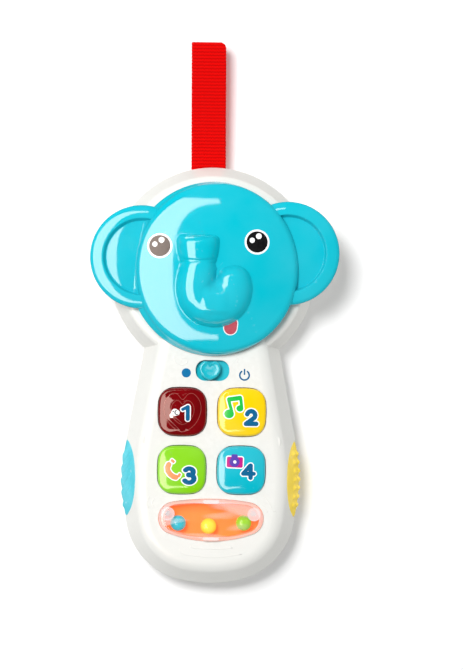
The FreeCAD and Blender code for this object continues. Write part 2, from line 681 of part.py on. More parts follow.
def make_capacitor():
    can = Part.makeCylinder(2.4, 6.0, vec(9.4, BOARD_BACK + 2.45, -3.4), vec(1, 0, 0))
    return can.makeFillet(0.4, [e for e in can.Edges if e.Curve.TypeId == "Part::GeomCircle"])


def make_resistors():
    """Four small chip resistors in a row behind the board."""
    return Part.makeCompound([box(-16.0 + 3.2 * i, -14.4 + 3.2 * i, BOARD_BACK, BOARD_BACK + 0.6, -5.6, -2.4)
                              for i in range(4)])


def cable(points, radius):
    """An insulated wire along a smooth path."""
    curve = Part.BSplineCurve()
    curve.interpolate([vec(*p) for p in points])
    path = Part.Wire(curve.toShape())
    start = curve.value(curve.FirstParameter)
    ring = Part.Wire(Part.makeCircle(radius, start, curve.tangent(curve.FirstParameter)[0]))
    return path.makePipeShell([ring], True, True)


def make_speaker():
    """Basket, paper cone and magnet of a 29 mm loudspeaker facing the rear holes."""
    z = SPEAKER_Z
    frame = spun([(SPEAKER_RADIUS, -2.1), (SPEAKER_RADIUS, -3.6), (12.4, -3.6), (10.4, -6.6), (6.2, -6.6),
                  (6.2, -5.8), (9.8, -5.8), (11.6, -3.2), (12.2, -2.1)], 0, z)
    tabs = []
    for s in (-1, 1):
        tab_back = SPEAKER_TAB_FRONT + SPEAKER_TAB_THICK
        tab = rod(s * SPEAKER_TAB_X, z, SPEAKER_TAB_RADIUS, SPEAKER_TAB_FRONT, tab_back)
        arm = box(s * 13.4, s * SPEAKER_TAB_X, SPEAKER_TAB_FRONT, tab_back,
                  z - SPEAKER_TAB_RADIUS, z + SPEAKER_TAB_RADIUS)
        tab = tab.fuse(arm)
        tabs.append(tab.cut(rod(s * SPEAKER_TAB_X, z, 1.0, -10, 0)))
    frame = one(joined(frame, tabs), "speaker frame")
    cone = spun([(11.9, -2.15), (10.9, -3.1), (4.3, -5.6), (0, -4.2), (0, -3.9), (4.1, -5.1), (10.7, -2.7),
                 (11.2, -2.15)], 0, z)
    magnet = rod(0, z, 9.0, -6.6, -10.6)
    magnet = magnet.makeChamfer(0.5, edges_at(magnet, -10.6))
    return frame, cone, magnet


def make_wires():
    """Two wires from the board to the loudspeaker and two to the battery contacts."""
    speaker, battery = [], []
    for s in (-1, 1):
        speaker.append(cable([(s * 2.0 - 6, -15.6, 6.5), (s * 2.2 - 6, -13.5, 14),
                              (s * 2.6 - 5, -12.0, 22), (s * 3.0 - 3, -8.2, 29.5)], SPEAKER_WIRE))
        battery.append(cable([(s * 1.6 + 18.5, -15.6, -6.5), (s * 1.6 + 17.5, -13.5, -10),
                              (13.8, -9.6, -17 + s * 2.0)], BATTERY_WIRE))
    return Part.makeCompound(speaker), Part.makeCompound(battery)


# ---------------------------------------------------------------- batteries
def battery_span(side):
    """Flat end and button end of a cell along z; the left cell stands up, the right one hangs down."""
    if side < 0:
        return BAY_HIGH - PLATE - BATTERY_LENGTH, BAY_HIGH - PLATE
    return BAY_LOW + PLATE + BATTERY_LENGTH, BAY_LOW + PLATE


def make_battery(side):
    flat, button = battery_span(side)
    way = 1 if button > flat else -1
    x = side * BATTERY_X
    body = Part.makeCylinder(BATTERY_RADIUS, BATTERY_LENGTH - BATTERY_BUTTON, vec(x, BATTERY_Y, flat),
                             vec(0, 0, way))
    body = body.makeFillet(0.6, [e for e in body.Edges if e.Curve.TypeId == "Part::GeomCircle"])
    cap = Part.makeCylinder(2.6, BATTERY_BUTTON, vec(x, BATTERY_Y, button), vec(0, 0, -way))
    return one(body.fuse(cap), "battery")


def contact_plate(side, wall, inward):
    x = side * BATTERY_X
    return box(x - 4.2, x + 4.2, BATTERY_Y - 4.2, BATTERY_Y + 4.2, wall, wall + inward * (PLATE - 0.02))


def make_contacts():
    """Coil springs at the flat ends, and pressed plates at both ends of each cell."""
    springs, plates = [], []
    for side in (-1, 1):
        flat = battery_span(side)[0]
        wall, far, inward = (BAY_LOW, BAY_HIGH, 1) if side < 0 else (BAY_HIGH, BAY_LOW, -1)
        low, high = sorted((flat + inward * -0.1, wall + inward * PLATE))
        length = high - low - 2 * SPRING_WIRE
        helix = Part.makeHelix(length / 2.5, length, SPRING_RADIUS)
        ring = Part.Wire(Part.makeCircle(SPRING_WIRE, vec(SPRING_RADIUS, 0, 0), vec(0, 1, 0.1)))
        coil = Part.Wire(helix).makePipeShell([ring], True, True)
        coil.translate(vec(side * BATTERY_X, BATTERY_Y, low + SPRING_WIRE))
        springs.append(coil)
        plates += [contact_plate(side, wall, inward), contact_plate(side, far, -inward)]
    return Part.makeCompound(springs), Part.makeCompound(plates)


def make_door():
    """Battery door with two locating tongues and a hole for its captive screw."""
    inner_face = DOOR_SEAT + 0.1
    door = rounded_plate(DOOR_HALF, DOOR_LOW, DOOR_HIGH, inner_face, -0.1, DOOR_CORNER)
    door = door.makeFillet(0.35, edges_at(door, -0.1))
    tongues = [box(x - 1.2, x + 1.2, inner_face, -0.6, DOOR_LOW - 1.2, DOOR_LOW + 1.0)
               for x in (-DOOR_TONGUE_X, DOOR_TONGUE_X)]
    ribs = [box(-9.0, 9.0, -0.9, -0.05, z - 0.5, z + 0.5) for z in (-58.0, -55.5, -53.0)]
    hole = [rod(0, DOOR_SCREW_Z, 1.35, -5, 1), rod(0, DOOR_SCREW_Z, 2.6, -1.2, 1)]
    return one(pierced(joined(door, tongues), ribs + hole), "battery door")


# ---------------------------------------------------------------- strap
def make_strap():
    """The hanging loop, its sewn end inside the casing, and the steel pin it hangs on."""
    x0 = STRAP_X - STRAP_WIDTH / 2
    half = STRAP_LAYER
    hinge = vec(x0, STRAP_Y, STRAP_HINGE_Z)

    def profile(grow):
        """A slim teardrop seen from the side, closed at the hinge."""
        top = STRAP_TOP - STRAP_LAYER + grow
        bulge = 1.35 + grow
        spots = [vec(x0, STRAP_Y - half * 0.05 - grow, STRAP_HINGE_Z + 4.0 - grow * 3),
                 vec(x0, STRAP_Y - 0.6 - grow, STRAP_HINGE_Z + 20),
                 vec(x0, STRAP_Y - bulge, top - 7),
                 vec(x0, STRAP_Y - bulge * 0.8, top - 1.0),
                 vec(x0, STRAP_Y, top),
                 vec(x0, STRAP_Y + bulge * 0.8, top - 1.0),
                 vec(x0, STRAP_Y + bulge, top - 7),
                 vec(x0, STRAP_Y + 0.6 + grow, STRAP_HINGE_Z + 20),
                 vec(x0, STRAP_Y + half * 0.05 + grow, STRAP_HINGE_Z + 4.0 - grow * 3)]
        curve = Part.BSplineCurve()
        curve.interpolate(spots)
        return Part.Wire([curve.toShape(), Part.makeLine(spots[-1], spots[0])])

    outside = Part.Face(profile(STRAP_LAYER)).extrude(vec(STRAP_WIDTH, 0, 0))
    root = Part.makeCylinder(half + 0.05, STRAP_WIDTH, hinge, vec(1, 0, 0))
    stem = box(x0, x0 + STRAP_WIDTH, STRAP_Y - half, STRAP_Y + half, STRAP_HINGE_Z, STRAP_HINGE_Z + 2.0)
    root = root.fuse(stem)
    inside = Part.Face(profile(0.0)).extrude(vec(STRAP_WIDTH, 0, 0))
    loop = outside.fuse(root).cut(inside)
    eye = PIN_RADIUS + 0.05
    end = Part.makeCylinder(eye + STRAP_LAYER, STRAP_WIDTH, vec(x0, STRAP_Y, PIN_Z), vec(1, 0, 0))
    end = end.fuse(box(x0, x0 + STRAP_WIDTH, STRAP_Y - half, STRAP_Y + half, PIN_Z, STRAP_HINGE_Z - 1.6))
    end = end.cut(Part.makeCylinder(eye, STRAP_WIDTH, vec(x0, STRAP_Y, PIN_Z), vec(1, 0, 0)))
    pin = Part.makeCylinder(PIN_RADIUS, 2 * PIN_HALF, vec(STRAP_X - PIN_HALF, STRAP_Y, PIN_Z), vec(1, 0, 0))
    return loop, end, pin


# ---------------------------------------------------------------- rattle
def make_rattle():
    """Clear window with two posts, orange tray, and the free balls."""
    top = slab(window_outline(0), WINDOW_FRONT, LIP_BACK)
    top = top.makeFillet(2.2, edges_at(top, WINDOW_FRONT))
    lip = slab(window_outline(LIP), LIP_FRONT, LIP_BACK)
    hollow = slab(window_outline(-WINDOW_WALL), WINDOW_FRONT + WINDOW_WALL, LIP_BACK + 1)
    hollow = hollow.makeFillet(1.2, edges_at(hollow, WINDOW_FRONT + WINDOW_WALL))
    posts = [rod(x, z, WINDOW_POST_RADIUS, WINDOW_FRONT + 0.8, TRAY_FLOOR) for x, z in WINDOW_POSTS]
    window = joined(top.fuse(lip).cut(hollow), posts)
    pilots = [rod(x, z, SMALL_PILOT, -24.5, TRAY_FLOOR) for x, z in WINDOW_POSTS]
    window = one(pierced(window, pilots), "window")
    tray = slab(window_outline(LIP), LIP_BACK, TRAY_BACK)
    room = slab(window_outline(-WINDOW_WALL), LIP_BACK - 1, TRAY_FLOOR)
    holes = [rod(x, z, SMALL_CLEAR, -20, -10) for x, z in WINDOW_POSTS]
    holes += [rod(x, z, WINDOW_POST_RADIUS + 0.1, -30, TRAY_FLOOR) for x, z in WINDOW_POSTS]
    tray = one(pierced(tray, [room] + holes), "tray")
    balls = {name: Part.makeSphere(BALL_RADIUS, vec(x, TRAY_FLOOR - BALL_RADIUS - 0.05, z))
             for name, (x, z) in BALLS.items()}
    return window, tray, balls


# ---------------------------------------------------------------- build
def main():
    os.makedirs("parts", exist_ok=True)
    outer, inner, front, rear = make_casing()
    export("front_shell", make_front_shell(outer, inner, front))
    export("rear_shell", make_rear_shell(inner, rear))
    export("elephant_face", make_face())
    export("face_screws", Part.makeCompound(
        [screw(x, z, HEAD_FRONT + WALL, -1, 7.5, 1.05, 2.2, 1.3) for x, z in FACE_SCREWS]))
    export("case_screws", Part.makeCompound(
        [screw(x, z, -7.0, -1, 12.0, 1.25, 2.6, 1.6) for x, z in CASE_SCREWS]))
    for side, name in ((-1, "left"), (1, "right")):
        skin = handset(-GRIP_PROUD).cut(handset(GRIP_SEAT, front_round=GRIP_BACKING_ROUND))
        grip = skin.common(grip_window(side, 0.0))
        export(f"side_grip_{name}", one(grip, "side grip"))
    loop, end, pin = make_strap()
    export("strap_loop", loop)
    export("strap_end", end)
    export("strap_pin", pin)
    colours = {1: "red", 2: "yellow", 3: "green", 4: "blue"}
    for number, x, z in button_places():
        export(f"button_{number}_{colours[number]}", make_button(x, z))
        export(f"rubber_dome_{number}", make_rubber_dome(x, z))
    can, pins, lever = make_switch_parts()
    export("switch_knob", make_switch_knob())
    export("switch_can", can.fuse(pins))
    export("switch_lever", lever)
    export("circuit_board", make_board(pins))
    export("board_screws", Part.makeCompound(
        [screw(x, z, BOARD_BACK, -1, 6.0, 0.8, 1.9, 1.0) for x, z in BOARD_POSTS]))
    first = button_places()[0]
    export("light_diode", make_diode(first[1], first[2] + 6.0))
    blob = Part.makeSphere(9.0, vec(4.0, BOARD_BACK - 7.6, -3.0))
    export("chip_blob", blob.common(box(-BIG, BIG, BOARD_BACK, BIG, -BIG, BIG)))
    export("capacitor", make_capacitor())
    export("resistors", make_resistors())
    window, tray, balls = make_rattle()
    export("rattle_window", window)
    export("rattle_tray", tray)
    export("rattle_screws", Part.makeCompound(
        [screw(x, z, TRAY_BACK, -1, 5.0, 0.8, 1.8, 1.0) for x, z in WINDOW_POSTS]))
    for name, ball in balls.items():
        export(f"ball_{name}", ball)
    frame, cone, magnet = make_speaker()
    export("speaker_frame", frame)
    export("speaker_cone", cone)
    export("speaker_magnet", magnet)
    export("speaker_screws", Part.makeCompound(
        [screw(s * SPEAKER_TAB_X, SPEAKER_Z, SPEAKER_TAB_FRONT, 1, 3.4, 0.8, 1.9, 1.0) for s in (-1, 1)]))
    speaker_wires, battery_wires = make_wires()
    export("speaker_wires", speaker_wires)
    export("battery_wires", battery_wires)
    for side, name in ((-1, "left"), (1, "right")):
        export(f"battery_{name}", make_battery(side))
    springs, plates = make_contacts()
    export("contact_springs", springs)
    export("contact_plates", plates)
    export("battery_door", make_door())
    export("door_screw", screw(0, DOOR_SCREW_Z, -1.2, -1, 6.5, 1.1, 2.4, 0.9))


main()
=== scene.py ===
"""Looks of the elephant toy phone: gloss face, picture keys, clear rattle window, soft grips, woven strap.

Everything is worked out in millimetres in the row frame and scaled to metres when a mesh is made.
"""

import math

import bmesh
import bpy
import numpy as np
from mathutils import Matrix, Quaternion, Vector


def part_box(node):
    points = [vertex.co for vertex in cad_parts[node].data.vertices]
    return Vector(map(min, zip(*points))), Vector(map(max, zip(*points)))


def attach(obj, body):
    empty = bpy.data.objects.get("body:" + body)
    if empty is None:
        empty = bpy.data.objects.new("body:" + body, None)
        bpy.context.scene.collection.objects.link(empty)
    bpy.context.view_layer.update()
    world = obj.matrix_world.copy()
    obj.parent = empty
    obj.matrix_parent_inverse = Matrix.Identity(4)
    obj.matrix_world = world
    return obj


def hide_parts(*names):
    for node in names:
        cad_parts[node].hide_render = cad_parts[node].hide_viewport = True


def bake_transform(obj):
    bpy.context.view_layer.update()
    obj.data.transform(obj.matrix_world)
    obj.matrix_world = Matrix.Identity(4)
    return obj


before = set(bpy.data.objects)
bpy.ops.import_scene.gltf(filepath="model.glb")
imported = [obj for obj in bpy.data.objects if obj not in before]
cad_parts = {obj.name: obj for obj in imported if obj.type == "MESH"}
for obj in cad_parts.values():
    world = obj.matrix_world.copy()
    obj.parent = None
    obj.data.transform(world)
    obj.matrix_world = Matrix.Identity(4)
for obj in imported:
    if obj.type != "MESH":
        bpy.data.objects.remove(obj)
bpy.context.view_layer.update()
scene = bpy.context.scene

MM = 0.001


# ---- places taken from the CAD frame
def corners(node):
    """Lowest and highest corner of a CAD node's box, in millimetres."""
    return [np.array(corner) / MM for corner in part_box(node)]


def middle(node):
    """Middle of a CAD node's box, in millimetres."""
    return sum(corners(node)) / 2


PANEL_Y = corners("front_shell")[0][1]
FACE_LOW, FACE_HIGH = corners("elephant_face")
FACE_BACK = FACE_HIGH[1]
KEYS = {node: middle(node)[[0, 2]]
        for node in ("button_1_red", "button_2_yellow", "button_3_green", "button_4_blue")}
KEY_HALF = 9.2
KEY_POWER = 3.3                         # how square a key is: 2 is round
WINDOW_FRONT = corners("rattle_window")[0][1]
WINDOW_Z = -55.0
POST_X, POST_Z = 16.4, -52.7
CLIP_HALF = 3.1
STRAP_X = middle("strap_loop")[0]
STRAP_TOP = corners("strap_loop")[1][2]
PIN_Y, PIN_Z = middle("strap_pin")[1:]
KNOB_X, _, KNOB_Z = middle("switch_knob")
KNOB_FRONT = corners("switch_knob")[0][1]
SHELL_BACK = -23.9                      # inner face of the front shell, where the lips bear
LIP = 0.65                              # how far a lip reaches past its opening


# ---- materials
COLOUR_A, COLOUR_B, COLOUR_OUT = 6, 7, 2  # the mix node's colour sockets


class Nodes:
    """A node tree, with the few nodes this scene uses."""

    def __init__(self, tree):
        self.tree = tree

    def fill(self, node, inputs):
        """Sets a node's inputs, by name or number, to values, or links them to sockets."""
        for key, value in inputs.items():
            if isinstance(value, bpy.types.NodeSocket):
                self.tree.links.new(value, node.inputs[key])
            else:
                node.inputs[key].default_value = value

    def add(self, kind, inputs=None, **settings):
        """A new shader node of a kind, such as Bump."""
        node = self.tree.nodes.new(f"ShaderNode{kind}")
        for key, value in settings.items():
            setattr(node, key, value)
        self.fill(node, inputs or {})
        return node

    def remap(self, value, low, high, start=0.3, end=0.7):
        """A value that runs from start to end, turned into one that runs from low to high."""
        inputs = {"Value": value, "From Min": start, "From Max": end, "To Min": low, "To Max": high}
        return self.add("MapRange", inputs).outputs["Result"]

    def combine(self, operation, a, b):
        return self.add("Math", {0: a, 1: b}, operation=operation).outputs[0]

    def mix(self, factor, a, b):
        """Shader node a to shader node b by a factor."""
        return self.add("MixShader", {0: factor, 1: a.outputs[0], 2: b.outputs[0]})


class Shader(Nodes):
    """A material's node tree."""

    def __init__(self, name):
        self.material = bpy.data.materials.new(name)
        self.material.use_nodes = True
        super().__init__(self.material.node_tree)
        self.bsdf = self.tree.nodes["Principled BSDF"]
        self.coords = self.add("TexCoord").outputs["Object"]

    def paint(self, inputs):
        self.fill(self.bsdf, inputs)

    def surface(self, node):
        self.fill(self.tree.nodes["Material Output"], {"Surface": node.outputs[0]})

    def mapped(self, turn=0.0, scale=(1.0, 1.0, 1.0)):
        """Object coordinates, turned about the y axis and stretched."""
        inputs = {"Vector": self.coords, "Rotation": (0.0, turn, 0.0), "Scale": scale}
        return self.add("Mapping", inputs).outputs["Vector"]

    def noise(self, per_mm, detail=2.0, roughness=0.5, distortion=0.0, where=None):
        """Noise with about per_mm blobs to the millimetre."""
        inputs = {"Vector": self.coords if where is None else where, "Scale": per_mm / MM, "Detail": detail,
                  "Roughness": roughness, "Distortion": distortion}
        return self.add("TexNoise", inputs).outputs["Fac"]

    def varied(self, low, high, *noise):
        """A number between low and high that follows a noise."""
        return self.remap(self.noise(*noise), low, high)

    def blend(self, factor, a, b):
        """Colour a to colour b by a factor; a may be a socket."""
        a = a if isinstance(a, bpy.types.NodeSocket) else (*a, 1.0)
        inputs = {"Factor": factor, COLOUR_A: a, COLOUR_B: (*b, 1.0)}
        return self.add("Mix", inputs, data_type="RGBA").outputs[COLOUR_OUT]

    def mottled(self, dark, light, *noise):
        """A colour between dark and light that follows a noise."""
        return self.blend(self.varied(0.0, 1.0, *noise), dark, light)

    def bump(self, height, distance_mm, strength=1.0):
        inputs = {"Height": height, "Distance": distance_mm * MM, "Strength": strength}
        return self.add("Bump", inputs).outputs["Normal"]

    def edge_wear(self, colour, worn, amount):
        """Lightens convex edges unevenly."""
        pointed = self.add("NewGeometry").outputs["Pointiness"]
        edge = self.remap(pointed, 0.0, amount, 0.53, 0.62)
        patches = self.remap(self.noise(0.6, 4), 0.0, 1.0, 0.4, 0.6)
        return self.blend(self.combine("MULTIPLY", edge, patches), colour, worn)


def srgb(r, g, b):
    """Screen colour (0 to 255) to linear light."""
    return tuple(((c / 255 + 0.055) / 1.055) ** 2.4 if c > 10 else c / 255 / 12.92 for c in (r, g, b))


def lighter(colour, amount):
    return tuple(c + (1 - c) * amount for c in colour)


def darker(colour, amount):
    return tuple(c * (1 - amount) for c in colour)


def moulded(name, colour, rough=0.3, grain=0.01, variation=0.04, wear=0.25, coat=0.0, painted_glow=0.0):
    """Moulded plastic: a slightly uneven colour, fine grain, uneven gloss and scuffed edges; painted_glow
    makes it give off painted light in its own colour.
    """
    s = Shader(name)
    tone = s.mottled(darker(colour, variation), lighter(colour, variation), 0.05, 3)
    tone = s.edge_wear(tone, lighter(colour, 0.5), wear)
    s.paint({"Base Color": tone, "Roughness": s.varied(rough * 0.85, rough * 1.2, 0.35, 5, 0.6), "IOR": 1.5,
             "Coat Weight": coat, "Coat Roughness": 0.04, "Normal": s.bump(s.noise(3.0, 2), grain, 0.6)})
    # painted light: the surface glows in its own colour, though it is no lamp
    if painted_glow:
        s.paint({"Emission Color": tone, "Emission Strength": painted_glow})
    return s.material


def rubber(name, colour, rough=0.55):
    """Soft moulded rubber with a dusty bloom on its raised parts."""
    s = Shader(name)
    tone = s.mottled(darker(colour, 0.1), lighter(colour, 0.08), 0.12, 4)
    s.paint({"Base Color": s.edge_wear(tone, lighter(colour, 0.45), 0.5), "Specular IOR Level": 0.4,
             "Roughness": s.varied(rough * 0.85, min(1.0, rough * 1.2), 0.6, 4),
             "Normal": s.bump(s.noise(2.2, 3), 0.015, 0.8)})
    return s.material


def ink(name, colour):
    """Printed ink: flat colour, faint mottling, a soft gloss."""
    s = Shader(name)
    s.paint({"Base Color": s.mottled(darker(colour, 0.06), lighter(colour, 0.006), 0.8, 3),
             "Roughness": s.varied(0.16, 0.26, 1.5, 2), "Normal": s.bump(s.noise(4.0, 1), 0.004, 0.4)})
    return s.material


def clear(name, tint, milk, through_light, painted_streaks=0.0, rough=0.03):
    """Clear thin plastic: see-through face on and shiny at a glance; painted light whitens it at glancing
    angles and lays pale slanted stripes of painted reflection on it.
    """
    s = Shader(name)
    tone = (*tint, 1.0)
    through = s.add("BsdfTransparent", {"Color": (*lighter(tint, 0.9), 1.0)})
    matt = s.add("BsdfDiffuse", {"Color": tone})
    # painted light: the haze glows faintly in its tint, more where there is more haze
    lift = s.add("Emission", {"Color": tone, "Strength": 0.15 * milk})
    pale = s.add("AddShader", {0: matt.outputs[0], 1: lift.outputs[0]})
    haze = s.mix(through_light, pale, s.add("BsdfTranslucent", {"Color": tone}))
    rim = s.add("LayerWeight", {"Blend": 0.3}).outputs["Facing"]
    # painted light: whiter at glancing angles, standing in for light the curved plastic bends and mirrors
    glancing_painted_light = s.remap(rim, milk, max(milk, 0.45), 0.2, 0.95)
    # painted reflection: pale slanted stripes of haze standing in for mirrored lamp light
    bands = s.noise(0.27, 0.0, where=s.mapped(-0.22, (0.16, 1.0, 1.0)))
    haze_and_painted_light = s.combine("MAXIMUM", glancing_painted_light, s.remap(bands, 0.0, painted_streaks, 0.56, 0.63))
    body = s.mix(haze_and_painted_light, through, haze)
    normal = s.bump(s.noise(0.18, 3, 0.5, 1.5), 0.04)
    shine = s.add("Fresnel", {"IOR": 1.5, "Normal": normal}).outputs[0]
    behind = s.add("NewGeometry").outputs["Backfacing"]
    outer_shine = s.combine("MULTIPLY", shine, s.remap(behind, 1.0, 0.0, 0.0, 1.0))
    uneven = s.varied(rough * 0.7, rough * 1.6, 0.25, 3)
    gloss = s.add("BsdfGlossy", {"Roughness": uneven, "Normal": normal})
    s.surface(s.mix(outer_shine, body, gloss))
    s.tree.nodes.remove(s.bsdf)
    return s.material


def tinted(name, colour):
    """Dark clear plastic seen over a cavity: a deep, uneven colour and a hard gloss."""
    s = Shader(name)
    tone = s.mottled(darker(colour, 0.3), colour, 0.12, 4, 0.6, 0.8)
    s.paint({"Base Color": s.edge_wear(tone, lighter(colour, 0.12), 0.5), "IOR": 1.5,
             "Roughness": s.varied(0.03, 0.07, 0.5, 3)})
    return s.material


def metal(name, colour, rough=0.3):
    """Plated or brushed metal with fine drawn lines and dull patches."""
    s = Shader(name)
    drawn = s.noise(1.5, where=s.mapped(scale=(1.0, 8.0, 1.0)))
    s.paint({"Base Color": s.mottled(darker(colour, 0.2), colour, 0.4, 3), "Metallic": 1.0,
             "Roughness": s.remap(drawn, rough * 0.8, rough * 1.3), "Normal": s.bump(drawn, 0.01, 0.5)})
    return s.material


def webbing(name, colour):
    """Woven polyester: threads crossing in a fine twill over the modelled ribs, painted shade in the troughs
    between the ribs, and a soft sheen.
    """
    s = Shader(name)
    slants = []
    for turn in (0.62, -0.62):
        inputs = {"Vector": s.mapped(turn), "Scale": 0.42 / MM, "Distortion": 0.6, "Detail Scale": 2.0}
        slants.append(s.add("TexWave", inputs, bands_direction="X").outputs["Fac"])
    threads = s.combine("MULTIPLY", *slants)
    fuzz = s.noise(1.2, 5, 0.7)
    ribs = s.add("Attribute", attribute_name="rib").outputs["Fac"]
    shade = s.blend(s.remap(threads, 0.0, 0.7), darker(colour, 0.35), colour)
    # painted shade: darker where the rib attribute is low, in the troughs between the ribs
    shade = s.blend(s.remap(ribs, 0.62, 0.0, 0.1, 0.85), shade, darker(colour, 0.7))
    shade = s.blend(s.remap(fuzz, 0.0, 0.02, 0.55, 0.75), shade, lighter(colour, 0.2))
    s.paint({"Base Color": shade, "Roughness": s.remap(fuzz, 0.6, 0.85), "Specular IOR Level": 0.05,
             "Sheen Weight": 0.02, "Sheen Roughness": 0.4, "Sheen Tint": (1.0, 0.3, 0.25, 1.0),
             "Normal": s.bump(threads, 0.12, 0.8)})
    return s.material


KEY_COLOURS = {"yellow": (246, 206, 0), "green": (132, 208, 0), "blue": (0, 180, 198)}
BALL_COLOURS = {"blue": (45, 182, 200), "yellow": (255, 214, 45), "green": (138, 196, 0)}
INKS = {"white": (250, 250, 250), "black": (14, 14, 16), "blue": (0, 96, 142), "bright_blue": (0, 110, 162),
        "green": (20, 186, 66), "salmon": (248, 150, 96), "magenta": (190, 24, 130), "purple": (88, 62, 168),
        # the painted highlight colour for the red key's heart lines is on the next line
        "painted_facet_glint": (150, 66, 60), "tongue": (186, 78, 92)}
MATERIALS = {
    "shell": moulded("shell_plastic", srgb(223, 223, 218), 0.38, 0.012, 0.02, 0.2),
    "face": moulded("face_plastic", srgb(0, 184, 202), 0.06, 0.002, 0.02, 0.1, coat=0.2),
    "knob": moulded("knob_plastic", srgb(0, 180, 196), 0.18, 0.004, 0.04, 0.3),
    "strap": webbing("strap_webbing", srgb(255, 0, 0)),
    "key_red": tinted("key_red_plastic", srgb(124, 2, 8)),
    # painted light on the cover and its edge: whiter at glancing angles; stripes of painted reflection on the
    # cover; faint glowing haze on the edge
    "window": clear("window_plastic", srgb(250, 250, 252), 0.0, 0.3, 0.24),
    "frost": clear("window_edge_plastic", srgb(250, 250, 252), 0.42, 0.1),
    # painted light: the tray glows orange, as if lit through the clear cover
    "tray": moulded("tray_plastic", srgb(255, 128, 52), 0.22, 0.006, 0.05, 0.1, painted_glow=0.42),
    "grip_left": rubber("grip_left_rubber", srgb(60, 198, 215), 0.42),
    "grip_right": rubber("grip_right_rubber", srgb(255, 222, 40), 0.5),
    "steel": metal("screw_steel", (0.62, 0.62, 0.64)),
    "nickel": metal("contact_nickel", (0.78, 0.76, 0.7), 0.2),
    "ferrite": metal("magnet_steel", (0.25, 0.25, 0.26), 0.45),
    "board": moulded("board_resist", srgb(20, 96, 48), 0.35, 0.01, 0.12, 0.1),
    "black": moulded("black_resin", srgb(22, 22, 24), 0.25, 0.01, 0.2, 0.3),
    "paper": rubber("cone_paper", srgb(52, 48, 44), 0.9),
    "silicone": rubber("dome_silicone", srgb(206, 206, 200), 0.6),
    "lens": tinted("diode_lens", srgb(205, 60, 60)),
    "wire": rubber("wire_jacket", srgb(190, 20, 20), 0.5),
    "cell": moulded("battery_jacket", srgb(196, 142, 40), 0.3, 0.004, 0.08, 0.4),
}
for hue, tone in KEY_COLOURS.items():
    plastic = moulded(f"key_{hue}_plastic", srgb(*tone), 0.08, 0.002, 0.04, 0.1, coat=0.3)
    MATERIALS[f"key_{hue}"] = plastic
for hue, tone in BALL_COLOURS.items():
    # painted light: each rattle ball glows in its own colour
    plastic = moulded(f"ball_{hue}_plastic", srgb(*tone), 0.15, 0.003, 0.06, 0.1, painted_glow=0.3)
    MATERIALS[f"ball_{hue}"] = plastic
for hue, tone in INKS.items():
    MATERIALS[f"ink_{hue}"] = ink(f"ink_{hue}", srgb(*tone))
NODE_MATERIALS = {
    "shell": "front_shell rear_shell battery_door",
    "steel": "face_screws case_screws door_screw board_screws rattle_screws speaker_screws "
             "strap_pin switch_can",
    "knob": "switch_knob",
    "black": "switch_lever chip_blob capacitor resistors speaker_frame",
    "board": "circuit_board",
    "lens": "light_diode",
    "silicone": "rubber_dome_1 rubber_dome_2 rubber_dome_3 rubber_dome_4",
    "tray": "rattle_tray",
    "ball_blue": "ball_blue",
    "ball_yellow": "ball_yellow",
    "ball_green": "ball_green",
    "paper": "speaker_cone",
    "ferrite": "speaker_magnet",
    "wire": "speaker_wires battery_wires",
    "cell": "battery_left battery_right",
    "nickel": "contact_springs contact_plates",
}


def finish_cad_nodes():
    """Every CAD node that stays in sight gets its procedural material."""
    for key, nodes in NODE_MATERIALS.items():
        for node in nodes.split():
            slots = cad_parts[node].data.materials
            slots.clear()
            slots.append(MATERIALS[key])


# ---- mesh helpers
def new_object(name, data):
    obj = bpy.data.objects.new(name, data)
    scene.collection.objects.link(obj)
    return obj


def add_mesh(name, verts, faces, material, body="casing", crease=40.0, slot=None, replaced=()):
    """A mesh from millimetre points, outward normals, smooth but for sharp creases, riding on a body.

    It stands for the replaced CAD nodes. Its slot is not used.
    """
    mesh = bpy.data.meshes.new(name)
    mesh.from_pydata((np.asarray(verts, float) * MM).tolist(), [], faces)
    bm = bmesh.new()
    bm.from_mesh(mesh)
    bmesh.ops.remove_doubles(bm, verts=bm.verts, dist=1e-7)
    bmesh.ops.recalc_face_normals(bm, faces=bm.faces)
    bm.to_mesh(mesh)
    bm.free()
    mesh.polygons.foreach_set("use_smooth", [True] * len(mesh.polygons))
    if crease < 180:
        mesh.set_sharp_from_angle(angle=math.radians(crease))
    mesh.materials.append(MATERIALS[material])
    obj = new_object(name, mesh)
    if body:
        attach(obj, body)
    if replaced:
        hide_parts(*replaced)
    return obj


def add_rings(name, rings, material, body="casing", **settings):
    """A closed solid through equal rings of points; the first and last ring close to a point."""
    count = len(rings[0])
    verts = [np.mean(rings[0], axis=0)]
    for ring in rings:
        verts.extend(ring)
    verts.append(np.mean(rings[-1], axis=0))
    faces = []
    for i in range(count):
        j = (i + 1) % count
        faces.append((0, 1 + i, 1 + j))
        for r in range(len(rings) - 1):
            a, b = 1 + r * count, 1 + (r + 1) * count
            faces.append((a + i, b + i, b + j, a + j))
        last = 1 + (len(rings) - 1) * count
        faces.append((last + i, len(verts) - 1, last + j))
    return add_mesh(name, np.array(verts), faces, material, body, **settings)


def grid_faces(rows, wide, closed=False):
    """Quads between rows of points; closed joins the last row to the first."""
    faces = []
    for a in range(0, (rows if closed else rows - 1) * wide, wide):
        b = (a + wide) % (rows * wide)
        faces += [(a + k, a + k + 1, b + k + 1, b + k) for k in range(wide - 1)]
    return faces


def angles(count):
    return np.arange(count) * 2 * math.pi / count


def spots(x, y, z):
    """Points from their coordinates; one number stands for all of them."""
    return np.stack(np.broadcast_arrays(x, y, z), -1)


def round_ring(cx, cz, turn, reach, y):
    """Points round a centre at one depth; the reach may differ from point to point."""
    return spots(cx + reach * np.cos(turn), y, cz + reach * np.sin(turn))


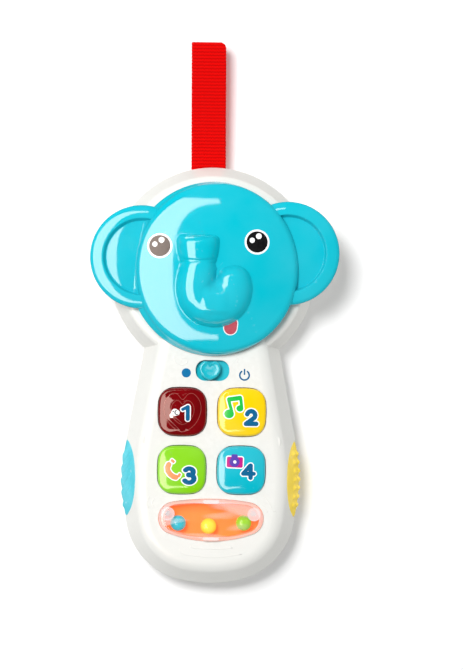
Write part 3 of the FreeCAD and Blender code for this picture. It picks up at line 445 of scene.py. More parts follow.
def squircle(turn, half, power):
    """Distance from the middle to the outline of a square with bowed sides and round corners."""
    return half / (np.abs(np.cos(turn)) ** power + np.abs(np.sin(turn)) ** power) ** (1 / power)


def curve_through(points, steps, before=None, after=None):
    """Points on a smooth curve through the given ones, with the last one at its end."""
    before = 2 * points[0] - points[1] if before is None else before
    after = 2 * points[-1] - points[-2] if after is None else after
    padded = np.vstack([before, points, after])
    out = []
    for i in range(1, len(padded) - 2):
        p0, p1, p2, p3 = padded[i - 1:i + 3]
        for t in np.linspace(0, 1, steps, endpoint=False):
            out.append(0.5 * (2 * p1 + (p2 - p0) * t + (2 * p0 - 5 * p1 + 4 * p2 - p3) * t ** 2
                              + (3 * p1 - p0 - 3 * p2 + p3) * t ** 3))
    return np.vstack([out, points[-1]])


def smooth_step(x):
    x = np.clip(x, 0.0, 1.0)
    return x * x * (3 - 2 * x)


def edge_drop(distance, radius):
    """How far a rounded edge has fallen at a distance inside the outline."""
    d = np.clip(distance, 0.0, radius)
    return radius - np.sqrt(np.clip(radius ** 2 - (radius - d) ** 2, 0, None))


def rim_steps(reach, fine, coarse, width):
    """Ring positions from the middle (0) to the outline (reach), close together near the outline."""
    inner = np.linspace(0.03, 1.0, coarse) * (reach - width)
    outer = reach - width + width * np.sin(np.linspace(0, math.pi / 2, fine + 1)[1:])
    return np.concatenate([inner, outer])


# ---- printed pictures from distance fields
def capsule(x, z, a, b, radius):
    """Distance to a thick line between points a and b."""
    ax, az = a
    dx, dz = b[0] - ax, b[1] - az
    t = np.clip(((x - ax) * dx + (z - az) * dz) / (dx * dx + dz * dz + 1e-12), 0, 1)
    return np.hypot(x - ax - t * dx, z - az - t * dz) - radius


def disc(x, z, centre, radius):
    return np.hypot(x - centre[0], z - centre[1]) - radius


def block(x, z, centre, half, corner, turn=0.0):
    """Distance to a rectangle with round corners, turned by degrees."""
    c, s = math.cos(math.radians(turn)), math.sin(math.radians(turn))
    u, v = x - centre[0], z - centre[1]
    u, v = u * c + v * s, -u * s + v * c
    qx, qz = np.abs(u) - half[0] + corner, np.abs(v) - half[1] + corner
    return np.hypot(np.maximum(qx, 0), np.maximum(qz, 0)) + np.minimum(np.maximum(qx, qz), 0) - corner


def stroke(x, z, points, radius):
    return np.minimum.reduce([capsule(x, z, a, b, radius) for a, b in zip(points, points[1:])])


def shapes(kind, *parts):
    """A field of discs, strokes or blocks, each given by what its distance needs after x and z."""
    return lambda x, z: np.minimum.reduce([kind(x, z, *part) for part in parts])


def joined(*fields):
    return lambda x, z: np.minimum.reduce([field(x, z) for field in fields])


def moved(field, dx, dz):
    return lambda x, z: field(x - dx, z - dz)


def bow(centre, radius, start, end, count=14):
    """Points along an arc, by degrees."""
    return [(centre[0] + radius * math.cos(math.radians(a)), centre[1] + radius * math.sin(math.radians(a)))
            for a in np.linspace(start, end, count)]


def region_mesh(field, box, step):
    """A grid's cells clipped to where the field is below nought: flat points, and faces that share them."""
    x0, x1, z0, z1 = box
    xs = np.linspace(x0, x1, math.ceil((x1 - x0) / step) + 1)
    zs = np.linspace(z0, z1, math.ceil((z1 - z0) / step) + 1)
    value = field(*np.meshgrid(xs, zs, indexing="ij"))
    value = np.where(np.abs(value) < 1e-6, 1e-6, value)
    inside = value < 0
    points, index, faces = [], {}, []

    def vertex(a, b, t=0.0):
        """The point a share t of the way from grid corner a to b."""
        if (a, b) not in index:
            index[a, b] = len(points)
            points.append((xs[a[0]] + (xs[b[0]] - xs[a[0]]) * t, zs[a[1]] + (zs[b[1]] - zs[a[1]]) * t))
        return index[a, b]

    def crossing(a, b):
        """The point between two corners where the field is nought, kept clear of both."""
        a, b = min(a, b), max(a, b)
        return vertex(a, b, min(max(value[a] / (value[a] - value[b]), 0.06), 0.94))

    for i in range(len(xs) - 1):
        for j in range(len(zs) - 1):
            cell = [(i, j), (i + 1, j), (i + 1, j + 1), (i, j + 1)]
            flags = [inside[c] for c in cell]
            saddle = flags[0] == flags[2] != flags[1] == flags[3]
            face = []
            for n, here in enumerate(cell):
                after = cell[(n + 1) % 4]
                if saddle and flags[n]:
                    faces.append((crossing(cell[n - 1], here), vertex(here, here), crossing(here, after)))
                    continue
                if flags[n]:
                    face.append(vertex(here, here))
                if inside[here] != inside[after]:
                    face.append(crossing(here, after))
            if face and not saddle:
                faces.append(tuple(face))
    return np.array(points), faces


def decal(name, field, box, surface, material, body="casing", lift=0.05, step=0.16):
    """A thin closed slab of ink: the region of a field, laid on a surface y(x, z), raised by lift."""
    flat, faces = region_mesh(field, box, step)
    x, z = flat[:, 0], flat[:, 1]
    y = surface(x, z)
    count = len(flat)
    seen = {edge for face in faces for edge in zip(face, face[1:] + face[:1])}
    walls = [(b, a, a + count, b + count) for a, b in sorted(seen) if (b, a) not in seen]
    both = faces + [tuple(i + count for i in reversed(face)) for face in faces] + walls
    verts = np.concatenate([spots(x, y - lift, z), spots(x, y + 0.12, z)])
    return add_mesh(name, verts, both, material, body, crease=50)


# ---- elephant face
DISC_TOP = (1.15, 40.7, 31.0, 32.6)     # centre x, centre z, half width, half height
DISC_BASE = (0.0, 40.7, 32.33, 33.23)
DISC_CROWN = -36.5
DISC_EDGE = 2.2
DISC_SAG = 5.7
TRUNK_BEND = (0.13, 32.85)              # centre of the trunk's U
TRUNK_SPINE = [(-6.18, 58.0, 8.0, 5.3), (-6.18, 50.2, 8.1, 5.7), (-6.1, 46.6, 7.5, 5.5),
               (-6.0, 43.1, 6.35, 4.8), (-6.3, 39.6, 7.1, 5.5), (-6.85, 36.0, 7.3, 5.8)]
TRUNK_SPINE += [(x, z, 7.25, 5.8 - 0.5 * step / 6)
                for step, (x, z) in enumerate(bow(TRUNK_BEND, 7.2, 180, 360, 7))]
TRUNK_SPINE += [(7.45, 35.4, 6.7, 4.9)]  # x, z, half width, height over the dome
LEFT_LIMB = 8                           # spine points before the lowest stretch
SPINE_STEPS = 8
TRUNK_TOP = 53.3
TRUNK_TOP_CORNER = 1.8
SPINE = curve_through(np.array(TRUNK_SPINE), SPINE_STEPS)
EAR_RADIUS = 19.7
EAR_Z = {-1: 44.93, 1: 46.9}


def dome_y(x, z):
    """Depth of the domed disc's surface."""
    cx, cz, a, b = DISC_TOP
    rho = np.hypot((x - cx) / a, (z - cz) / b)
    inward = (1 - np.minimum(rho, 1)) * (a + b) / 2
    return DISC_CROWN + DISC_SAG * np.minimum(rho, 1) ** 2 + edge_drop(inward, DISC_EDGE)


def soft_max(a, b, width):
    """The larger of two heights, rounded where they cross, and sharp where either is nought."""
    gap = np.clip(width - np.abs(a - b), 0, None)
    return np.maximum(a, b) + gap ** 2 / (4 * width) * np.clip(np.minimum(a, b) / 0.6, 0, 1)


def limb_height(x, z, spine):
    """Height of a rounded tube along a run of spine points."""
    top = np.zeros(np.shape(x))
    for p, q in zip(spine, spine[1:]):
        dx, dz = q[0] - p[0], q[1] - p[1]
        t = np.clip(((x - p[0]) * dx + (z - p[1]) * dz) / (dx * dx + dz * dz), 0, 1)
        d = np.hypot(x - p[0] - t * dx, z - p[1] - t * dz)
        u = np.clip(d / (p[2] + (q[2] - p[2]) * t), 0, 1) ** 2
        top = np.maximum(top, (p[3] + (q[3] - p[3]) * t) * (1 - 0.45 * u - 0.55 * u ** 2.6))
    return top


def trunk_tip(x, z, height):
    """Cuts the hanging limb square at its top, with round corners, a lip, a dent and a fold at the neck."""
    off = np.abs(x - SPINE[0][0])
    corner = np.clip(off - (SPINE[0][2] - TRUNK_TOP_CORNER), 0, TRUNK_TOP_CORNER)
    tip = TRUNK_TOP - z - TRUNK_TOP_CORNER + np.sqrt(TRUNK_TOP_CORNER ** 2 - corner ** 2)
    height = height * smooth_step(tip / 1.0 + 0.1)
    on_limb = np.clip(height / 3, 0, 1)
    dent = np.exp(-(off / 4.6) ** 4) * np.exp(-((tip - 1.25 - 0.012 * off ** 2) / 0.55) ** 2) * 0.75
    lip = np.exp(-((tip - 3.2) / 1.6) ** 2) * 0.25
    fold = np.exp(-((z - 43.6 - 0.01 * off ** 2) / 0.45) ** 2) * 0.3
    return height + (lip - dent - fold) * on_limb


def trunk_height(x, z):
    """Height of the trunk over the dome: a limb hanging down, a bend and a curl up, filled softly between."""
    x, z = np.asarray(x, float), np.asarray(z, float)
    split = LEFT_LIMB * SPINE_STEPS
    left = trunk_tip(x, z, limb_height(x, z, SPINE[:split + 1]))
    right = limb_height(x, z, SPINE[split:])
    web = 5.6 * smooth_step((38.3 - z) / 8.0) * smooth_step((z - 20.0) / 5.0)
    web = web * np.exp(-((x - 0.3) / 7.0) ** 4)
    web = np.where(np.hypot(x - TRUNK_BEND[0], z - TRUNK_BEND[1]) < 13, web, 0)
    return np.maximum(soft_max(soft_max(left, right, 0.8), web, 2.2), 0)


def face_y(x, z):
    """Depth of the face's outer surface, trunk included."""
    return dome_y(x, z) - trunk_height(x, z)


def disc_rings():
    """Rings from the middle of the disc out to its edge, down the side wall and back along the base."""
    turn = angles(300)
    cx, cz, a, b = DISC_TOP
    rings = []
    for rho in rim_steps(1.0, 9, 118, 2.4 / 31.9):
        x, z = cx + a * rho * np.cos(turn), cz + b * rho * np.sin(turn)
        rings.append(spots(x, face_y(x, z), z))
    top = rings[-1]
    bx, bz, ba, bb = DISC_BASE
    base = spots(bx + ba * np.cos(turn), FACE_BACK, bz + bb * np.sin(turn))
    for share, y in ((0.5, -27.5), (1.0, PANEL_Y - 0.3), (1.0, FACE_BACK - 0.2)):
        ring = top + (base - top) * share
        ring[:, 1] = y
        rings.append(ring)
    return rings + [base + (np.array([bx, FACE_BACK, bz]) - base) * share for share in (0.012, 0.5)]


def ear_rings(side):
    """An ear: round rim, a step down inside it and a slightly pillowed inner panel."""
    tip = FACE_LOW[0] if side < 0 else FACE_HIGH[0]
    place = (tip - side * EAR_RADIUS, EAR_Z[side], angles(200))
    edge = EAR_RADIUS - 1.5 + 1.5 * np.sin(np.linspace(0.1, math.pi / 2, 9))
    rings = []
    for r in (*np.linspace(0.4, 13.3, 22), *np.linspace(13.45, 15.2, 14), *np.linspace(15.5, 18.2, 8), *edge):
        panel = -27.1 - 1.8 * (1 - min(r / 14.0, 1.0) ** 2)
        slope = max(r - 15.2, 0.0)
        rim = -29.75 + 0.2 * slope + 0.02 * slope ** 2 + edge_drop(EAR_RADIUS - r, 1.5)
        share = smooth_step((r - 13.7) / 1.15)
        rings.append(round_ring(*place, r, panel * (1 - share) + rim * share))
    back = [(EAR_RADIUS, -26.0), (EAR_RADIUS, FACE_BACK + 0.2), (EAR_RADIUS - 0.2, FACE_BACK),
            (EAR_RADIUS * 0.5, FACE_BACK)]
    return rings + [round_ring(*place, r, y) for r, y in back]


def make_face():
    """Disc, trunk and both ears, joined into one closed shell."""
    face = add_rings("elephant_face_shell", disc_rings(), "face", None, slot="face_turquoise",
                     replaced=["elephant_face"])
    for side in (-1, 1):
        ear = add_rings("ear", ear_rings(side), "face", None)
        union = face.modifiers.new("join", "BOOLEAN")
        union.operation, union.solver, union.object = "UNION", "EXACT", ear
        bpy.context.view_layer.update()
        result = face.evaluated_get(bpy.context.evaluated_depsgraph_get())
        joined_mesh = bpy.data.meshes.new_from_object(result)
        face.modifiers.clear()
        face.data = joined_mesh
        bpy.data.objects.remove(ear)
    face.data.set_sharp_from_angle(angle=math.radians(42))
    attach(face, "casing")


def make_eyes_and_tongue():
    """Printed eyes with a white ring and two glints, and the tongue below the trunk."""
    for name, x, z in (("left", -20.7, 49.1), ("right", 16.1, 50.9)):
        glints = [((x - 1.85, z + 0.6), 1.0), ((x + 0.65, z + 2.2), 1.1)]
        for suffix, discs, colour, lift, step in (("_ring", [((x, z), 4.75)], "ink_white", 0.04, 0.22),
                                                  ("", [((x, z), 4.02)], "ink_black", 0.08, 0.22),
                                                  ("_glints", glints, "ink_white", 0.12, 0.12)):
            decal(f"eye_{name}{suffix}", shapes(disc, *discs), (x - 5.5, x + 5.5, z - 5.5, z + 5.5), face_y,
                  colour, lift=lift, step=step)

    def tongue(x, z):
        blade = np.minimum(disc(x, z, (6.4, 18.2), 2.4), capsule(x, z, (4.4, 19.0), (6.2, 17.9), 0.5))
        return np.minimum(blade, capsule(x, z, (7.1, 20.0), (6.9, 18.1), 1.9))

    for name, grow, colour, lift in (("tongue_border", 0.32, "ink_white", 0.04),
                                     ("tongue", 0.0, "ink_tongue", 0.09)):
        decal(name, lambda x, z: np.maximum(tongue(x, z) - grow, trunk_height(x, z) - 0.1),
              (1.0, 12.5, 13.0, 24.5), dome_y, colour, lift=lift)


# ---- keys
def key_pillow(u, v, crown):
    """Depth of a key's domed front at an offset from its middle."""
    reach = squircle(np.arctan2(v, u), KEY_HALF, KEY_POWER)
    rho = np.minimum(np.hypot(u, v) / reach, 1)
    return crown + 1.45 * rho ** 2.1 + edge_drop((1 - rho) * reach, 1.0)


HEART_LOBE = [(0.0, -7.5), (3.6, -3.6), (4.4, 1.2), (2.4, 5.2), (-1.4, 6.9), (-4.6, 6.5), (-6.9, 4.4),
              (-7.4, 1.0), (-5.4, -2.8)]


def gem_heart(u, v):
    """Height of the cut heart in the red key: facets rising from its outline to a flat table."""
    lobes = []
    for sign in (1, -1):
        inward = []
        for a, b in zip(HEART_LOBE, HEART_LOBE[1:] + HEART_LOBE[:1]):
            nx, nz = -(b[1] - a[1]), b[0] - a[0]
            inward.append(((u * sign - a[0]) * nx + (v - a[1]) * nz) / math.hypot(nx, nz))
        lobes.append(np.minimum.reduce(inward))
    return np.clip(np.maximum(*lobes) * 0.32, 0, 0.75)


def key_names(node):
    """Body, slot and material of a key, from its node's number and colour."""
    body, colour = node.rsplit("_", 1)
    return body, f"button_{colour}", f"key_{colour}"


def make_key(node, heart=False):
    """A key cap: pillowed front, soft edge, skirt through the shell, lip. Gives its front surface."""
    x, z = KEYS[node]
    body, slot, material = key_names(node)
    low, high = corners(node)
    crown, back = low[1] - (0.0 if heart else 0.15), high[1]
    turn = angles(200)
    reach = squircle(turn, KEY_HALF, KEY_POWER)

    def surface(u, v):
        return key_pillow(u - x, v - z, crown) - (gem_heart(u - x, v - z) if heart else 0.0)

    rings = []
    for rho in rim_steps(1.0, 8, 46, 1.1 / KEY_HALF):
        ring = round_ring(x, z, turn, reach * rho, 0.0)
        ring[:, 1] = surface(ring[:, 0], ring[:, 2])
        rings.append(ring)
    sides = [(1, 0, -26.4), (1, 0, SHELL_BACK - 0.05), (1, LIP, SHELL_BACK), (1, LIP, back - 1.0),
             (1, -1.6, back - 1.0), (1, -1.6, -25.2), (0.3, 0, -25.4), (0.25, 0, -25.3), (0.25, 0, back),
             (0.1, 0, back)]
    rings += [round_ring(x, z, turn, reach * scale + extra, y) for scale, extra, y in sides]
    add_rings(f"{node}_cap", rings, material, body, crease=28 if heart else 45, slot=slot, replaced=[node])
    return surface


def stretched(field, wide):
    return lambda x, z: field(x / wide, z)


def note_heads(x, z):
    left = np.hypot((x + 1.9) / 1.05, (z + 2.6) / 0.95) - 1.75
    return np.minimum(left, np.hypot((x - 2.2) / 1.1, z + 0.5) - 1.2)


DIGITS = {
    "digit_1": shapes(stroke, ([(0.75, 2.2), (0.75, -2.3)], 0.78), ([(0.6, 2.25), (-1.2, 1.3)], 0.62)),
    "digit_2": shapes(stroke, (bow((0.0, 1.05), 1.55, 165, -35) + [(-1.9, -2.2), (2.0, -2.2)], 0.88)),
    "digit_3": stretched(shapes(stroke, (bow((-0.1, 1.3), 1.3, 150, -95), 0.85),
                                (bow((-0.1, -1.25), 1.55, 95, -150), 0.85)), 1.2),
    "digit_4": shapes(stroke, ([(0.6, 2.3), (-2.0, -0.75)], 0.78), ([(-2.0, -0.8), (2.1, -0.8)], 0.75),
                      ([(0.85, 2.3), (0.85, -2.3)], 0.85)),
}
MUSIC_NOTE = joined(note_heads, shapes(stroke, ([(-2.1, 2.7), (-0.75, -2.2)], 0.62),
                                       ([(-1.9, 2.9), (2.2, 3.5)], 0.86), ([(2.5, 3.2), (2.9, -0.4)], 0.6)))
HANDSET_CURVE = shapes(stroke, ([(-1.7, 1.9), (-2.15, 0.9), (-2.0, -0.5), (-1.1, -1.8), (0.2, -2.7),
                                 (1.0, -2.9)], 0.98))
HANDSET_ENDS = shapes(block, ((-0.2, 3.25), (0.8, 0.5), 0.25, -38), ((2.3, -2.15), (0.8, 0.5), 0.25, 62))
CAMERA_BODY = shapes(block, ((0.0, -0.35), (3.05, 2.0), 0.55, -2))
CAMERA_LENS = joined(shapes(disc, ((-0.1, -0.2), 1.95)), shapes(block, ((-0.1, 1.7), (1.2, 0.95), 0.5)))
CAMERA_GLINT = shapes(disc, ((0.0, -0.25), 0.62))
SMALL_HEAD = joined(shapes(disc, ((0.3, 0.4), 1.35), ((1.05, 0.3), 1.05)),
                    shapes(stroke, ([(-0.7, 0.0), (-1.25, -0.7), (-1.2, -1.25), (-0.75, -1.3)], 0.42)))
SMALL_HEAD_LINES = joined(shapes(disc, ((-0.35, 0.75), 0.26)),
                          shapes(stroke, (bow((1.1, 0.35), 0.8, 110, 280, 8), 0.17)))


def print_key(node, surface, name, offset, parts, border=0.42, half=(4.6, 5.2)):
    """Coloured shapes on a key with a white border round them all; each part is (suffix, ink, field)."""
    x, z = KEYS[node] + offset
    body = key_names(node)[0]
    area = (x - half[0], x + half[0], z - half[1], z + half[1])
    fields = [moved(field, x, z) for _, _, field in parts]
    if border:
        decal(f"{name}_border", lambda u, v: joined(*fields)(u, v) - border, area, surface, "ink_white", body,
              0.04)
    for (suffix, colour, _), field in zip(parts, fields):
        decal(f"{name}_{suffix}", field, area, surface, f"ink_{colour}", body, 0.09)


def print_digit(node, surface, digit, offset, border=0.42):
    print_key(node, surface, digit, offset, [("fill", "blue", DIGITS[digit])], border)


def make_keys():
    """The four keys with their prints, and painted highlight lines on the red key's heart."""
    red = make_key("button_1_red", heart=True)
    x, z = KEYS["button_1_red"]
    # painted highlights: thin light-red lines round two heart outlines, where the cut heart's edges catch the
    # light
    for name, size in (("outer", 1.0), ("inner", 0.62)):
        line = heart_outline(14.4 * size, 14.8 * size) + (x, z - 0.2)
        decal(f"heart_glint_line_{name}", shapes(stroke, (np.vstack([line, line[:1]]), 0.11)),
              (x - 8, x + 8, z - 8.5, z + 8), red, "ink_painted_facet_glint", "button_1", 0.03, step=0.1)
    print_digit("button_1_red", red, "digit_1", (1.25, -0.35), 0.4)
    print_key("button_1_red", red, "head_icon", (-3.2, -0.6), [("fill", "white", SMALL_HEAD)], 0.0)
    decal("head_icon_lines", moved(SMALL_HEAD_LINES, x - 3.2, z - 0.6), (x - 6, x - 1, z - 3.5, z + 2.5), red,
          "ink_black", "button_1", 0.16, step=0.08)
    yellow = make_key("button_2_yellow")
    print_key("button_2_yellow", yellow, "note", (-3.0, 2.0), [("fill", "green", MUSIC_NOTE)],
              half=(5.2, 5.6))
    print_digit("button_2_yellow", yellow, "digit_2", (3.5, -2.1))
    green = make_key("button_3_green")
    print_key("button_3_green", green, "handset", (-3.3, 0.1),
              [("curve", "salmon", HANDSET_CURVE), ("ends", "salmon", HANDSET_ENDS)])
    print_digit("button_3_green", green, "digit_3", (2.9, -2.0))
    blue = make_key("button_4_blue")
    print_key("button_4_blue", blue, "camera", (-2.5, 3.5), [("body", "magenta", CAMERA_BODY)])
    print_digit("button_4_blue", blue, "digit_4", (2.7, -0.4))
    x, z = KEYS["button_4_blue"]
    for name, colour, field, lift in (("camera_lens", "ink_purple", CAMERA_LENS, 0.13),
                                      ("camera_glint", "ink_white", CAMERA_GLINT, 0.17)):
        decal(name, moved(field, x - 2.5, z + 3.5), (x - 6, x + 3, z - 1, z + 7), blue, colour, "button_4",
              lift)


# ---- switch and panel prints
def heart_outline(width, height):
    """Points round a heart: a soft notch above, round shoulders and a broad foot."""
    right = np.array([(0.0, 0.66), (0.3, 0.94), (0.62, 0.93), (0.93, 0.52), (0.95, -0.05), (0.62, -0.66),
                      (0.0, -1.0)]) * (width / 2, height / 2)
    right = curve_through(right, 10, before=right[1] * (-1, 1), after=right[-2] * (-1, 1))
    return np.vstack([right, right[1:-1][::-1] * (-1, 1)])


def make_switch_cap():
    """The heart-shaped knob's cap: a raised line just inside its edge and a shallow dish in the middle."""
    x, z = heart_outline(8.4, 7.3).T
    profile = [(0.12, 0.10), (0.4, 0.04), (0.62, -0.06), (0.74, -0.28), (0.80, -0.42), (0.86, -0.34),
               (0.93, -0.2), (0.975, 0.1), (1.0, 0.5), (1.0, 1.6), (0.97, 1.8), (0.5, 1.8)]
    rings = [spots(KNOB_X + x * scale, KNOB_FRONT + y, KNOB_Z + z * scale) for scale, y in profile]
    add_rings("switch_heart_cap", rings, "knob", "switch", slot="button_blue")


def make_panel_prints():
    """The blue dot and the power sign beside the switch."""
    def panel(x, z):
        return np.full(np.shape(x), PANEL_Y)

    decal("switch_dot", shapes(disc, ((-10.0, 1.0), 1.75)), (-12.5, -7.5, -1.5, 3.5), panel,
          "ink_bright_blue", step=0.12)
    power = shapes(stroke, (bow((0, -0.1), 1.8, 128, 412, 26), 0.3), ([(0, 0.3), (0, 2.1)], 0.27))
    decal("power_sign", moved(power, 12.2, 0.4), (9.4, 15.0, -2.6, 3.4), panel, "ink_blue", step=0.1)


def ridge_tube(name, points, radius=0.32, raise_by=0.1):
    """A faint moulded line on the panel: a thin tube, mostly sunk in the surface."""
    dense = curve_through(np.array(points, float), 6)
    along = np.gradient(dense, axis=0)
    along /= np.linalg.norm(along, axis=1)[:, None]
    turn = angles(10)
    rings = []
    for (x, z), (ax, az) in zip(dense, along):
        across = np.stack([-az * np.cos(turn), np.sin(turn), ax * np.cos(turn)], 1)
        rings.append(np.array([x, PANEL_Y + radius - raise_by, z]) + across * radius)
    add_rings(name, rings, "shell", crease=180)


def make_panel_ridges():
    """Raised doodles on the panel: a swirl, squiggles and two brackets."""
    lines = {
        "ridge_swirl": [(-14.8, 7.2), (-14.2, 5.2), (-12.4, 4.0), (-10.6, 4.2), (-9.6, 5.4), (-10.4, 6.6),
                        (-11.8, 6.4), (-11.9, 5.4)],
        "ridge_squiggle": [(9.2, 7.2), (9.9, 6.4), (9.1, 5.6), (9.9, 4.8), (9.4, 4.0)],
        "ridge_arc_outer": [(-23.3, -46.4), (-24.3, -47.6), (-24.5, -49.2), (-23.6, -50.6)],
        "ridge_arc_inner": [(-21.6, -47.0), (-22.4, -48.2), (-22.3, -49.4), (-21.7, -50.2)],
        "ridge_zigzag": [(20.0, -45.4), (22.3, -48.5), (22.9, -49.9), (23.8, -51.2), (24.7, -51.4)],
        "ridge_zigzag_short": [(19.7, -49.0), (20.8, -50.3), (21.6, -51.8)],
        "ridge_bracket_low": [(-11.9, -66.2), (-11.4, -67.6), (-9.7, -68.2), (-7.1, -68.5), (1.9, -69.2),
                              (11.9, -67.9)],
        "ridge_bracket_high": [(-7.1, -64.6), (-7.0, -65.6), (1.9, -66.0), (8.4, -65.5)],
    }
    for name, points in lines.items():
        ridge_tube(name, points)


# ---- rattle window
def window_outline(grow=0.0):
    """The window's outline: nearly straight above, bowed below, round at both ends."""
    end_r, top_r, rise, half = 6.2, 90.0, 8.0, 20.0
    cx = half - end_r
    top_z = rise - top_r
    cz = top_z + math.sqrt((top_r - end_r) ** 2 - cx ** 2)
    lift = cz + rise
    low_r = (cx ** 2 + lift ** 2 - end_r ** 2) / (2 * (lift - end_r))
    low_z = low_r - rise
    high, low = math.atan2(cz - top_z, cx), math.atan2(cz - low_z, cx)
    arcs = [((0, top_z), top_r, math.pi - high, high), ((cx, cz), end_r, high, low),
            ((0, low_z), low_r, low, -math.pi - low), ((-cx, cz), end_r, -math.pi - low, -math.pi - high)]
    total = sum(abs(r * (b - a)) for _, r, a, b in arcs)
    out = []
    for centre, r, a, b in arcs:
        steps = max(8, int(round(240 * abs(r * (b - a)) / total)))
        t = np.linspace(a, b, steps, endpoint=False)
        out.append(np.stack([centre[0] + (r + grow) * np.cos(t), centre[1] + (r + grow) * np.sin(t)], 1))
    return np.vstack(out)


def make_window():
    """Clear cover: a thin shell with a rolled edge, a lip behind the opening and an open back."""
    outer, inner = window_outline(), window_outline(grow=-1.3)
    front = WINDOW_FRONT

    def ring(outline, scale, y, grow=0.0):
        size = scale * (1 + grow / np.hypot(*outline.T))
        return spots(outline[:, 0] * size, y, WINDOW_Z + outline[:, 1] * size)

    rings = [ring(outer, s, front + 0.35 * s ** 4) for s in (0.02, 0.2, 0.4, 0.6, 0.75, 0.84, 0.89)]
    edge = [(-1.7, front + 0.45), (-1.15, front + 0.62), (-0.6, front + 1.0), (-0.2, front + 1.55),
            (0.0, front + 2.2), (0.0, SHELL_BACK - 0.05), (LIP, SHELL_BACK), (LIP, SHELL_BACK + 0.95)]
    rings += [ring(outer, 1, y, grow) for grow, y in edge]
    rings += [ring(inner, s, y) for s, y in ((1, SHELL_BACK + 0.95), (1, front + 2.1), (0.97, front + 1.45))]
    rings += [ring(inner, s, front + 1.3) for s in (0.92, 0.7, 0.4, 0.1)]
    window = add_rings("rattle_window_cover", rings, "window", crease=35, slot="window_clear",
                       replaced=["rattle_window"])
    window.data.materials.append(MATERIALS["frost"])
    for face in window.data.polygons:
        depth = face.center.y / MM - front
        away = face.normal.x * face.center.x + face.normal.z * (face.center.z - WINDOW_Z * MM)
        if depth > 0.4 and away > 0 and abs(face.normal.y) < 0.97:
            face.material_index = 1


def make_window_details():
    """The two posts behind the window's ends, and the clips above and below it."""
    profile = [(0.5, -27.05), (2.5, -27.05), (2.6, -26.4), (2.15, -26.2), (2.0, -22.6), (1.9, -19.75),
               (0.95, -19.75), (0.9, -24.5), (0.3, -24.6)]
    for side, name in ((-1, "left"), (1, "right")):
        rings = [round_ring(side * POST_X, POST_Z, angles(48), r, y) for r, y in profile]
        add_rings(f"window_post_{name}", rings, "frost", crease=35, slot="window_clear")
    profile = [(0.3, 0.12), (0.92, 0.15), (1.0, 0.4), (1.0, 1.6), (0.5, 1.6)]
    turn = angles(64)
    for name, z, height in (("top", -48.0, 1.5), ("bottom", -62.1, 1.1)):
        rings = []
        for scale, depth in profile:
            reach = squircle(turn, scale, 5)
            rings.append(spots(CLIP_HALF * reach * np.cos(turn), WINDOW_FRONT + depth,
                               z + height / 2 * reach * np.sin(turn)))
        add_rings(f"window_clip_{name}", rings, "frost", slot="window_clear")


# ---- side grips
SIDE_BOW = 100.0                        # radius of the casing's side, seen from the front
SIDE_X, SIDE_Z = 33.7, -40.0            # where that side reaches farthest out
PARTING_Y = -12.0
GRIP_Y, GRIP_Z = -13.2, -39.7
GRIP_REACH, GRIP_TIP = 9.9, 14.7         # half its depth and half its height


def side_surface(y, z):
    """How far out the casing's side lies at a depth and height, softened at the parting line."""
    front, back = 6.0 / 14.0, 1.5 / 12.0
    d = PARTING_Y - y
    soft = 1.6
    inset = np.where(d > 0, front * d, -back * d)
    inset = inset + np.where(np.abs(d) < soft, (soft - np.abs(d)) ** 2 / (4 * soft) * (front + back) * 0.5, 0)
    return SIDE_X - SIDE_BOW + np.sqrt((SIDE_BOW - inset) ** 2 - (z - SIDE_Z) ** 2)


def ripple(offset, pitch):
    """A wave between 0 and 1 that is 1 at each whole pitch."""
    return 0.5 + 0.5 * np.cos(2 * math.pi * offset / pitch)


def grip_ridges(y, z):
    """Slanted ridges: shallow grooves running down and outwards."""
    return 0.45 * ripple(z - GRIP_Z + (y + 13.0) * 0.95, 4.8) ** 3


def grip_bumps(y, z):
    """Rows of round bumps."""
    return 0.8 * (ripple(z - GRIP_Z, 3.3) * (0.4 + 0.6 * ripple(y + 12.6, 3.4))) ** 1.3


def lens_outline(reach, tip):
    """Points round a lens: two arcs that meet in points above and below."""
    radius = (tip ** 2 + reach ** 2) / (2 * reach)
    span = math.asin(tip / radius)
    t = np.linspace(-span, span, 90, endpoint=False)
    arc = np.stack([radius * np.cos(t) - (radius - reach), radius * np.sin(t)], 1)
    return np.vstack([arc, -arc])


def make_grip(side, hand, slot, pattern, band):
    """A lens-shaped soft insert, smooth as far as the band's edge and patterned behind it."""
    across, up = lens_outline(GRIP_REACH, GRIP_TIP).T
    rings = []
    for rho in rim_steps(1.0, 6, 60, 0.08):
        y, z = GRIP_Y + across * rho, GRIP_Z + up * rho
        fade = smooth_step((0.9 - rho) / 0.1) * smooth_step((y - GRIP_Y + band) / 1.2)
        proud = 0.05 + 0.45 * (1 - rho ** 2) + pattern(y, z) * fade - edge_drop((1 - rho) * 11, 0.4)
        rings.append(spots(side * (side_surface(y, z) + proud), y, z))
    for scale, depth in ((1.0, 0.9), (0.96, 1.3), (0.5, 1.3)):
        y, z = GRIP_Y + across * scale, GRIP_Z + up * scale
        rings.append(spots(side * (side_surface(y, z) - depth), y, z))
    add_rings(f"side_grip_{hand}_pad", rings, f"grip_{hand}", crease=60, slot=slot,
              replaced=[f"side_grip_{hand}"])


# ---- strap
STRAP_COLUMNS = 44
STRAP_HALF_WIDTH = 6.6
STRAP_LEAN = 0.009                       # how far it leans over for each unit of height
RIB_PITCH = 1.27


